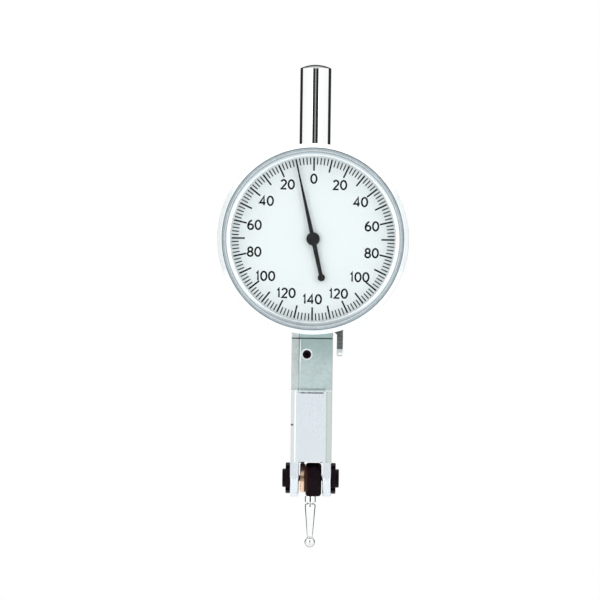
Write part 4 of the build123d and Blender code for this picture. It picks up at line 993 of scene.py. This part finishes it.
class INDICATOR_OT_bezel(bpy.types.Operator):
    """The turning bezel: fluted grip, bevelled rim, stepped satin ring."""

    bl_idname = "indicator.bezel"
    bl_label = "Bezel"

    def execute(self, context):
        metal = context.scene.indicator_metal
        flutes, outer = metal.flutes, BEZEL_RADIUS
        back, front = depths(BEZEL_LOW, BEZEL_HIGH)
        foot, bore = outer - 0.36 * MM, outer - 1.44 * MM
        face, throat, lip = outer - 1.7 * MM, outer - 2.4 * MM, outer - 2.6 * MM
        ledge = front - 1.3 * MM
        ring = softened(
            [
                (back, bore), (back, foot), (back + 0.56 * MM, foot), (back + 0.8 * MM, outer),
                (front - CHAMFER, outer), (front, outer - 0.8 * MM), (front, face),
                (front - 0.25 * MM, face), (front - 0.5 * MM, throat), (ledge, throat),
                (ledge, lip), (DIAL_FACE, lip), (DIAL_FACE, bore),
            ],
            radius=0.06 * MM, closed=True,
        )
        grip_back, grip_front = back + 1.0 * MM, front - 1.4 * MM
        run_out, flute_depth = 0.05 * MM, 0.07 * MM

        def press(h, r, angle):
            """Flutes: a depth times one minus the cosine of the angle, only on the grip."""
            on_grip = (h > grip_back) & (h < grip_front) & (r > outer - run_out)
            return np.where(on_grip, flute_depth * (1 - np.cos(angle * flutes)) / 2, 0)

        grip = (grip_back, grip_back + run_out, grip_front - run_out, grip_front)
        at = int(np.argmax((ring[:, 0] > grip_back) & (ring[:, 1] > outer - 0.001 * MM)))
        ring = np.vstack([ring[:at], [(h, outer) for h in grip], ring[at:]])
        bezel = on_dial("bezel_surface", ring, steps=flutes * 8, looped=True, press=press)
        chrome = turned_plating("bezel_chrome", metal.bezel, metal.rim)
        place(bezel, BEZEL, chrome, "bezel_chrome", "bezel")
        return {"FINISHED"}


class INDICATOR_OT_crystal(bpy.types.Operator):
    """The clear crystal with its slight dome."""

    bl_idname = "indicator.crystal"
    bl_label = "Crystal"

    def execute(self, context):
        back, front = depths(CRYSTAL_LOW, CRYSTAL_HIGH)
        radius, height = float(CRYSTAL_HIGH[0]), 0.6 * MM
        rim = front - height - 0.02 * MM
        wall = softened([(rim, radius), (back, radius), (back, 0)], radius=0.05 * MM)
        rows = np.vstack([dome(height, front, radius, points=40), wall])
        crystal = on_dial("crystal_surface", rows, steps=192)
        place(crystal, BEZEL, clear_cover("clear_crystal"), "crystal", "crystal")
        return {"FINISHED"}


class INDICATOR_OT_dial(bpy.types.Operator):
    """The dial's white plate, its hole closed up round the arbor."""

    bl_idname = "indicator.dial"
    bl_label = "Dial plate"

    def execute(self, context):
        back, front = depths(DIAL_LOW, DIAL_HIGH)
        radius, hole = float(DIAL_HIGH[0]), 0.95 * MM
        section = softened(
            [(back, hole), (back, radius), (front, radius), (front, hole)],
            radius=0.04 * MM, closed=True,
        )
        plate = on_dial("dial_surface", section, steps=192, looped=True)
        enamel = enamel_face("dial_enamel", context.scene.indicator_dial.enamel)
        place(plate, BEZEL, enamel, "dial_white", "dial_plate")
        return {"FINISHED"}


class INDICATOR_OT_printing(bpy.types.Operator):
    """The dial's marks and plain numbers, printed on its face."""

    bl_idname = "indicator.printing"
    bl_label = "Dial printing"

    def execute(self, context):
        dial = context.scene.indicator_dial
        ink = printing_ink("dial_ink", dial.ink)
        index = np.arange(dial.divisions)
        angle = index * 2 * math.pi / dial.divisions
        way = np.stack([np.sin(angle), np.cos(angle)], axis=1)
        fifth = index % 5 == 0
        for name, chosen, length, width in (
            ("dial_long_marks", fifth, dial.long_mark, LONG_WIDTH),
            ("dial_short_marks", ~fifth, dial.short_mark, SHORT_WIDTH),
        ):
            ends = (dial.mark_outer, dial.mark_outer - length)
            marks = np.stack([way[chosen] * end for end in ends], axis=1)
            made = strokes_mesh(name, list(marks), width, DIAL_FACE, FILM)
            place(made, BEZEL, ink, "dial_white")
        strokes = []
        for k in range(NUMBERS):
            value = NUMBER_STEP * min(k, NUMBERS - k)
            turn = k * (2 * math.pi / NUMBERS)
            at = np.array([math.sin(turn), math.cos(turn)]) * dial.numeral_radius
            strokes += numeral_strokes(str(value), at, dial.numeral_height)
        numbers = strokes_mesh("dial_numbers", strokes, NUMERAL_WIDTH, DIAL_FACE, FILM)
        place(numbers, BEZEL, ink, "dial_white")
        return {"FINISHED"}


class INDICATOR_OT_hub(bpy.types.Operator):
    """The pointer's hub, a black button with a rounded rim."""

    bl_idname = "indicator.hub"
    bl_label = "Pointer hub"

    def execute(self, context):
        back, front = depths(HUB_LOW, HUB_HIGH)
        radius = float(HUB_HIGH[0] - HUB_LOW[0]) / 2 - 0.05 * MM
        dish, rounding = front - 0.05 * MM, 0.2 * MM
        rows = softened(
            [
                (dish, 0), (dish, radius * 0.62), (front, radius * 0.70),
                (front, radius - rounding), (front - rounding, radius), (back, radius), (back, 0),
            ],
            radius=0.05 * MM,
        )
        hub = on_dial("hub_surface", rows, steps=96)
        paint = black_paint("hub_black", (0.004, 0.0045, 0.005))
        place(hub, POINTER, paint, "pointer_black", "pointer_hub")
        return {"FINISHED"}


class INDICATOR_OT_stylus(bpy.types.Operator):
    """The stylus's tapered shank with its collar and neck, and the contact ball."""

    bl_idname = "indicator.stylus"
    bl_label = "Stylus"

    def execute(self, context):
        x, y, ball_z = (float(number) for number in BALL_CENTRE)
        ball = float(BALL_HIGH[2] - BALL_LOW[2]) / 2
        axis = {"centre": (x, y, 0), "axis": (0, 0, 1), "steps": 96}
        collar = float(SHANK_HIGH[0] - SHANK_LOW[0]) / 2
        spigot, neck_radius, tip_radius = 0.7 * MM, 0.6 * MM, 0.52 * MM
        top = float(SHANK_HIGH[2])
        seat = top - 1.8 * MM
        neck = seat - 1.2 * MM
        shoulder = neck - 0.2 * MM
        swell = 0.5 * MM
        foot = ball_z + ball * 0.84
        upper = softened(
            [
                (top, 0), (top, spigot), (seat, spigot), (seat, collar), (neck, collar),
                (neck, neck_radius), (shoulder, neck_radius),
            ],
            radius=0.06 * MM,
        )
        t = np.linspace(0, math.pi / 2, 9)
        bulge = neck_radius + (collar - neck_radius) * np.sin(t)
        round_shoulder = np.stack([shoulder - swell * (1 - np.cos(t)), bulge], axis=1)
        taper = np.linspace((shoulder - swell, collar), (foot, tip_radius), 12)
        rows = np.vstack([upper, round_shoulder[1:], taper[1:], [(foot, 0)]])
        shank = turned("stylus_surface", rows, **axis)
        chrome = polished_plating("stylus_chrome", context.scene.indicator_metal.stem)
        place(shank, STYLUS, chrome, "tool_steel", "stylus_shank")

        a = np.linspace(0, math.pi, 49)
        rows = np.stack([ball_z + ball * np.cos(a), ball * np.sin(a)], axis=1)
        rows[[0, -1], 1] = 0
        tip = turned("ball_surface", rows, **axis)
        carbide = polished_plating("lapped_carbide", (0.84, 0.84, 0.85))
        place(tip, STYLUS, carbide, "carbide", "contact_ball")
        return {"FINISHED"}


class INDICATOR_OT_finishes(bpy.types.Operator):
    """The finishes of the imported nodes, and smooth shading over their round faces."""

    bl_idname = "indicator.finishes"
    bl_label = "Finishes"

    def execute(self, context):
        metal = context.scene.indicator_metal
        satin = satin_plating("satin_chrome", metal.satin, metal.ground)
        black = blacked_steel("blacked_steel", metal.black)
        brass = ground_metal("gear_brass", (0.80, 0.60, 0.26), 0.24)
        steel = ground_metal("ground_steel", (0.66, 0.67, 0.69), 0.22)
        blued = ground_metal("blued_spring", (0.16, 0.22, 0.42), 0.20)
        finishes = {
            "satin_chrome": satin,
            "bright_chrome": steel,
            "bezel_chrome": satin,
            "crystal": satin,
            "dial_white": steel,
            "pointer_black": black_paint("pointer_paint", (0.003, 0.003, 0.004)),
            "gear_brass": brass,
            "lever_bronze": lever_metal("lever_bronze", metal.bronze),
            "black_steel": black,
            "tool_steel": steel,
            "spring_steel": blued,
            "ruby": ruby_stone("ruby", (0.62, 0.04, 0.12)),
            "carbide": steel,
            "lever_grey": serrated_nickel("serrated_nickel", (0.235, 0.25, 0.24)),
        }
        # The drum's blacked steel, with a painted reflection of the bronze disc along its left edge
        drum = blacked_steel("drum_black", metal.black, DRUM_LEFT)
        shading = rounded_shading()
        slots = {part["node"]: part["material_slot"] for part in frame["record"]["subparts"]}
        for name, node in frame["nodes"].items():
            node.data.materials.clear()
            node.data.materials.append(drum if name == "stylus_drum" else finishes[slots[name]])
            modifier = node.modifiers.new("round_faces", "NODES")
            modifier.node_group = shading
        return {"FINISHED"}


def rounded_shading():
    """A node group that joins a node's loose triangles and shades its edges below SMOOTH_EDGE."""
    group = bpy.data.node_groups.new("round_faces", "GeometryNodeTree")
    for way in ("INPUT", "OUTPUT"):
        group.interface.new_socket("Geometry", in_out=way, socket_type="NodeSocketGeometry")
    graph = Graph(group)
    loose = graph.node("NodeGroupInput", {}, {})
    merged = graph.node("GeometryNodeMergeByDistance", {}, {0: loose, "Distance": 1e-6})
    smooth = graph.node("GeometryNodeSetShadeSmooth", {}, {0: merged})
    angle = graph.node("GeometryNodeInputMeshEdgeAngle", {}, {})
    sharp = graph.node(
        "FunctionNodeCompare", {"data_type": "FLOAT", "operation": "GREATER_THAN"},
        {0: angle, 1: SMOOTH_EDGE},
    )
    shaded = graph.node(
        "GeometryNodeSetShadeSmooth", {"domain": "EDGE"},
        {0: smooth, "Selection": sharp, "Shade Smooth": False},
    )
    graph.node("NodeGroupOutput", {}, {0: shaded}, None)
    return group


class INDICATOR_OT_stage(bpy.types.Operator):
    """The pale floor, the soft lights and the camera."""

    bl_idname = "indicator.stage"
    bl_label = "Stage"

    def execute(self, context):
        settings = context.scene.indicator_stage
        lay_floor(settings)
        hang_lights(settings)
        light_room(context.scene, settings)
        set_camera(context.scene, settings)
        return {"FINISHED"}


def lay_floor(settings):
    """A square floor below the ball, its corners half a side each way from the frame's middle."""
    pale = Finish("pale_floor", Roughness=0.9)
    pale.tint((0.90, 0.90, 0.90), (0.93, 0.93, 0.93), pale.noise(6, 2))
    level, half = CAD_BOX[0][2] - settings.floor_drop, 240 * MM
    ways = ((-1, -1), (1, -1), (1, 1), (-1, 1))
    floor = bpy.data.meshes.new("floor")
    floor.from_pydata([(half * i, half * j, level) for i, j in ways], [], [(0, 1, 2, 3)])
    floor.materials.append(pale.material)
    added("floor", floor)


def hang_lights(settings):
    """Four soft lights, each turned to the middle of the object."""
    middle = Vector((0, -4 * MM, -35 * MM))
    for name, spot, size, share in (
        ("left_softbox", (-0.34, -0.42, 0.02), (0.34, 0.60), 1),
        ("right_softbox", (0.34, -0.42, 0.02), (0.34, 0.60), 1),
        ("top_softbox", (0.0, -0.12, 0.42), (0.50, 0.40), 0.6),
        ("rear_softbox", (0.0, 0.26, 0.50), (0.40, 0.26), 0.35),
    ):
        lamp = bpy.data.lights.new(name, "AREA")
        lamp.shape, (lamp.size, lamp.size_y) = "RECTANGLE", size
        lamp.energy = settings.power * share
        holder = added(name, lamp)
        holder.location = spot
        holder.rotation_euler = (middle - Vector(spot)).to_track_quat("-Z", "Y").to_euler()
        holder.visible_camera = False


def light_room(scene, settings):
    """A pale room that shows white, with the darker cards that the metal mirrors."""
    world = bpy.data.worlds.new("pale_room")
    scene.world = world
    world.use_nodes = True
    room = Graph(world.node_tree)
    x, y, z = room.parts(room.node("ShaderNodeTexCoord", {}, {}, "Generated"))
    side = x / ((x * x + y * y) ** 0.5 + 0.001)
    across = (side * side) ** 0.5
    front = room.fall(y, -0.1, 0.0)
    level = room.band(z, -0.055, 0.16, 0.03) * front
    camera_gap = room.fall(across, 0.07, 0.09) * level
    left_card = room.band(side, -0.33, -0.09, 0.02)
    right_card = room.band(side, 0.09, 0.38, 0.02)
    cards = (left_card + right_card) * level
    canopy = room.band(z, 0.19, 0.75, 0.1) * room.fall(across, 0.4, 0.6) * front
    low = room.fall(z, 0.42, 0.56)
    behind = room.band(y, 0.38, 0.86, 0.03) * low
    wall = room.ease(y, 0.87, 0.90) * low
    shade = camera_gap * 0.68 + cards * 0.98 + canopy * 0.5 + behind * 0.97 + wall * 0.62
    strength = (1 - shade) * settings.room
    lit = room.node("ShaderNodeBackground", {}, {0: (0.97, 1.0, 1.0, 1), 1: strength})
    seen = room.node("ShaderNodeBackground", {}, {0: (1, 1, 1, 1), 1: 1.0})
    ray = room.node("ShaderNodeLightPath", {}, {}, "Is Camera Ray")
    both = room.node("ShaderNodeMixShader", {}, {0: ray, 1: lit, 2: seen})
    room.node("ShaderNodeOutputWorld", {}, {0: both}, None)
    scene.view_settings.view_transform = "Standard"


def set_camera(scene, settings):
    """The camera, a little to the right of the dial's axis and turned by the object's lean."""
    lens = bpy.data.cameras.new("camera")
    lens.lens, lens.sensor_width = settings.lens, 36.0
    lens.clip_start, lens.clip_end = 0.01, 10.0
    away = settings.field * settings.lens / lens.sensor_width
    aim = Vector((-2.49 * MM, -1 * MM, -35.53 * MM))
    up = Vector((-math.sin(settings.lean), 0, math.cos(settings.lean)))
    back = Vector((math.sin(settings.side), -math.cos(settings.side), 0))
    right = up.cross(back).normalized()
    up = back.cross(right)
    turn = Matrix((right, up, back)).transposed()
    camera = added("camera", lens)
    camera.matrix_world = Matrix.Translation(aim + back * away) @ turn.to_4x4()
    scene.camera = camera


class INDICATOR_PT_panel(bpy.types.Panel):
    """Lists the indicator's pieces and their sizes and colours."""

    bl_idname = "INDICATOR_PT_panel"
    bl_label = "Dial test indicator"
    bl_space_type = "VIEW_3D"
    bl_region_type = "UI"
    bl_category = "Indicator"

    def draw(self, context):
        layout = self.layout
        for group in GROUPS:
            settings = getattr(context.scene, group)
            column = layout.column()
            for name in settings.__annotations__:
                column.prop(settings, name)
        for operator in OPERATORS:
            layout.operator(operator.bl_idname)


OPERATORS = (
    INDICATOR_OT_finishes,
    INDICATOR_OT_stem,
    INDICATOR_OT_bevels,
    INDICATOR_OT_wire,
    INDICATOR_OT_bezel,
    INDICATOR_OT_crystal,
    INDICATOR_OT_dial,
    INDICATOR_OT_printing,
    INDICATOR_OT_hub,
    INDICATOR_OT_stylus,
    INDICATOR_OT_stage,
)
GROUPS = {
    "indicator_dial": DialSettings,
    "indicator_metal": MetalSettings,
    "indicator_stage": StageSettings,
}


def register():
    """Registers the settings, the operators and the panel, and gives each scene its settings."""
    for kind in (*GROUPS.values(), *OPERATORS, INDICATOR_PT_panel):
        bpy.utils.register_class(kind)
    for name, kind in GROUPS.items():
        setattr(bpy.types.Scene, name, bpy.props.PointerProperty(type=kind))


def unregister():
    """Takes away what register added, in the opposite order."""
    for name in GROUPS:
        delattr(bpy.types.Scene, name)
    for kind in (INDICATOR_PT_panel, *reversed(OPERATORS), *GROUPS.values()):
        bpy.utils.unregister_class(kind)


def main():
    """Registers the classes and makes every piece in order."""
    register()
    bpy.ops.indicator.finishes()
    bpy.ops.indicator.stem()
    bpy.ops.indicator.bevels()
    bpy.ops.indicator.wire()
    bpy.ops.indicator.bezel()
    bpy.ops.indicator.crystal()
    bpy.ops.indicator.dial()
    bpy.ops.indicator.printing()
    bpy.ops.indicator.hub()
    bpy.ops.indicator.stylus()
    bpy.ops.indicator.stage()


if __name__ == "__main__":
    main()
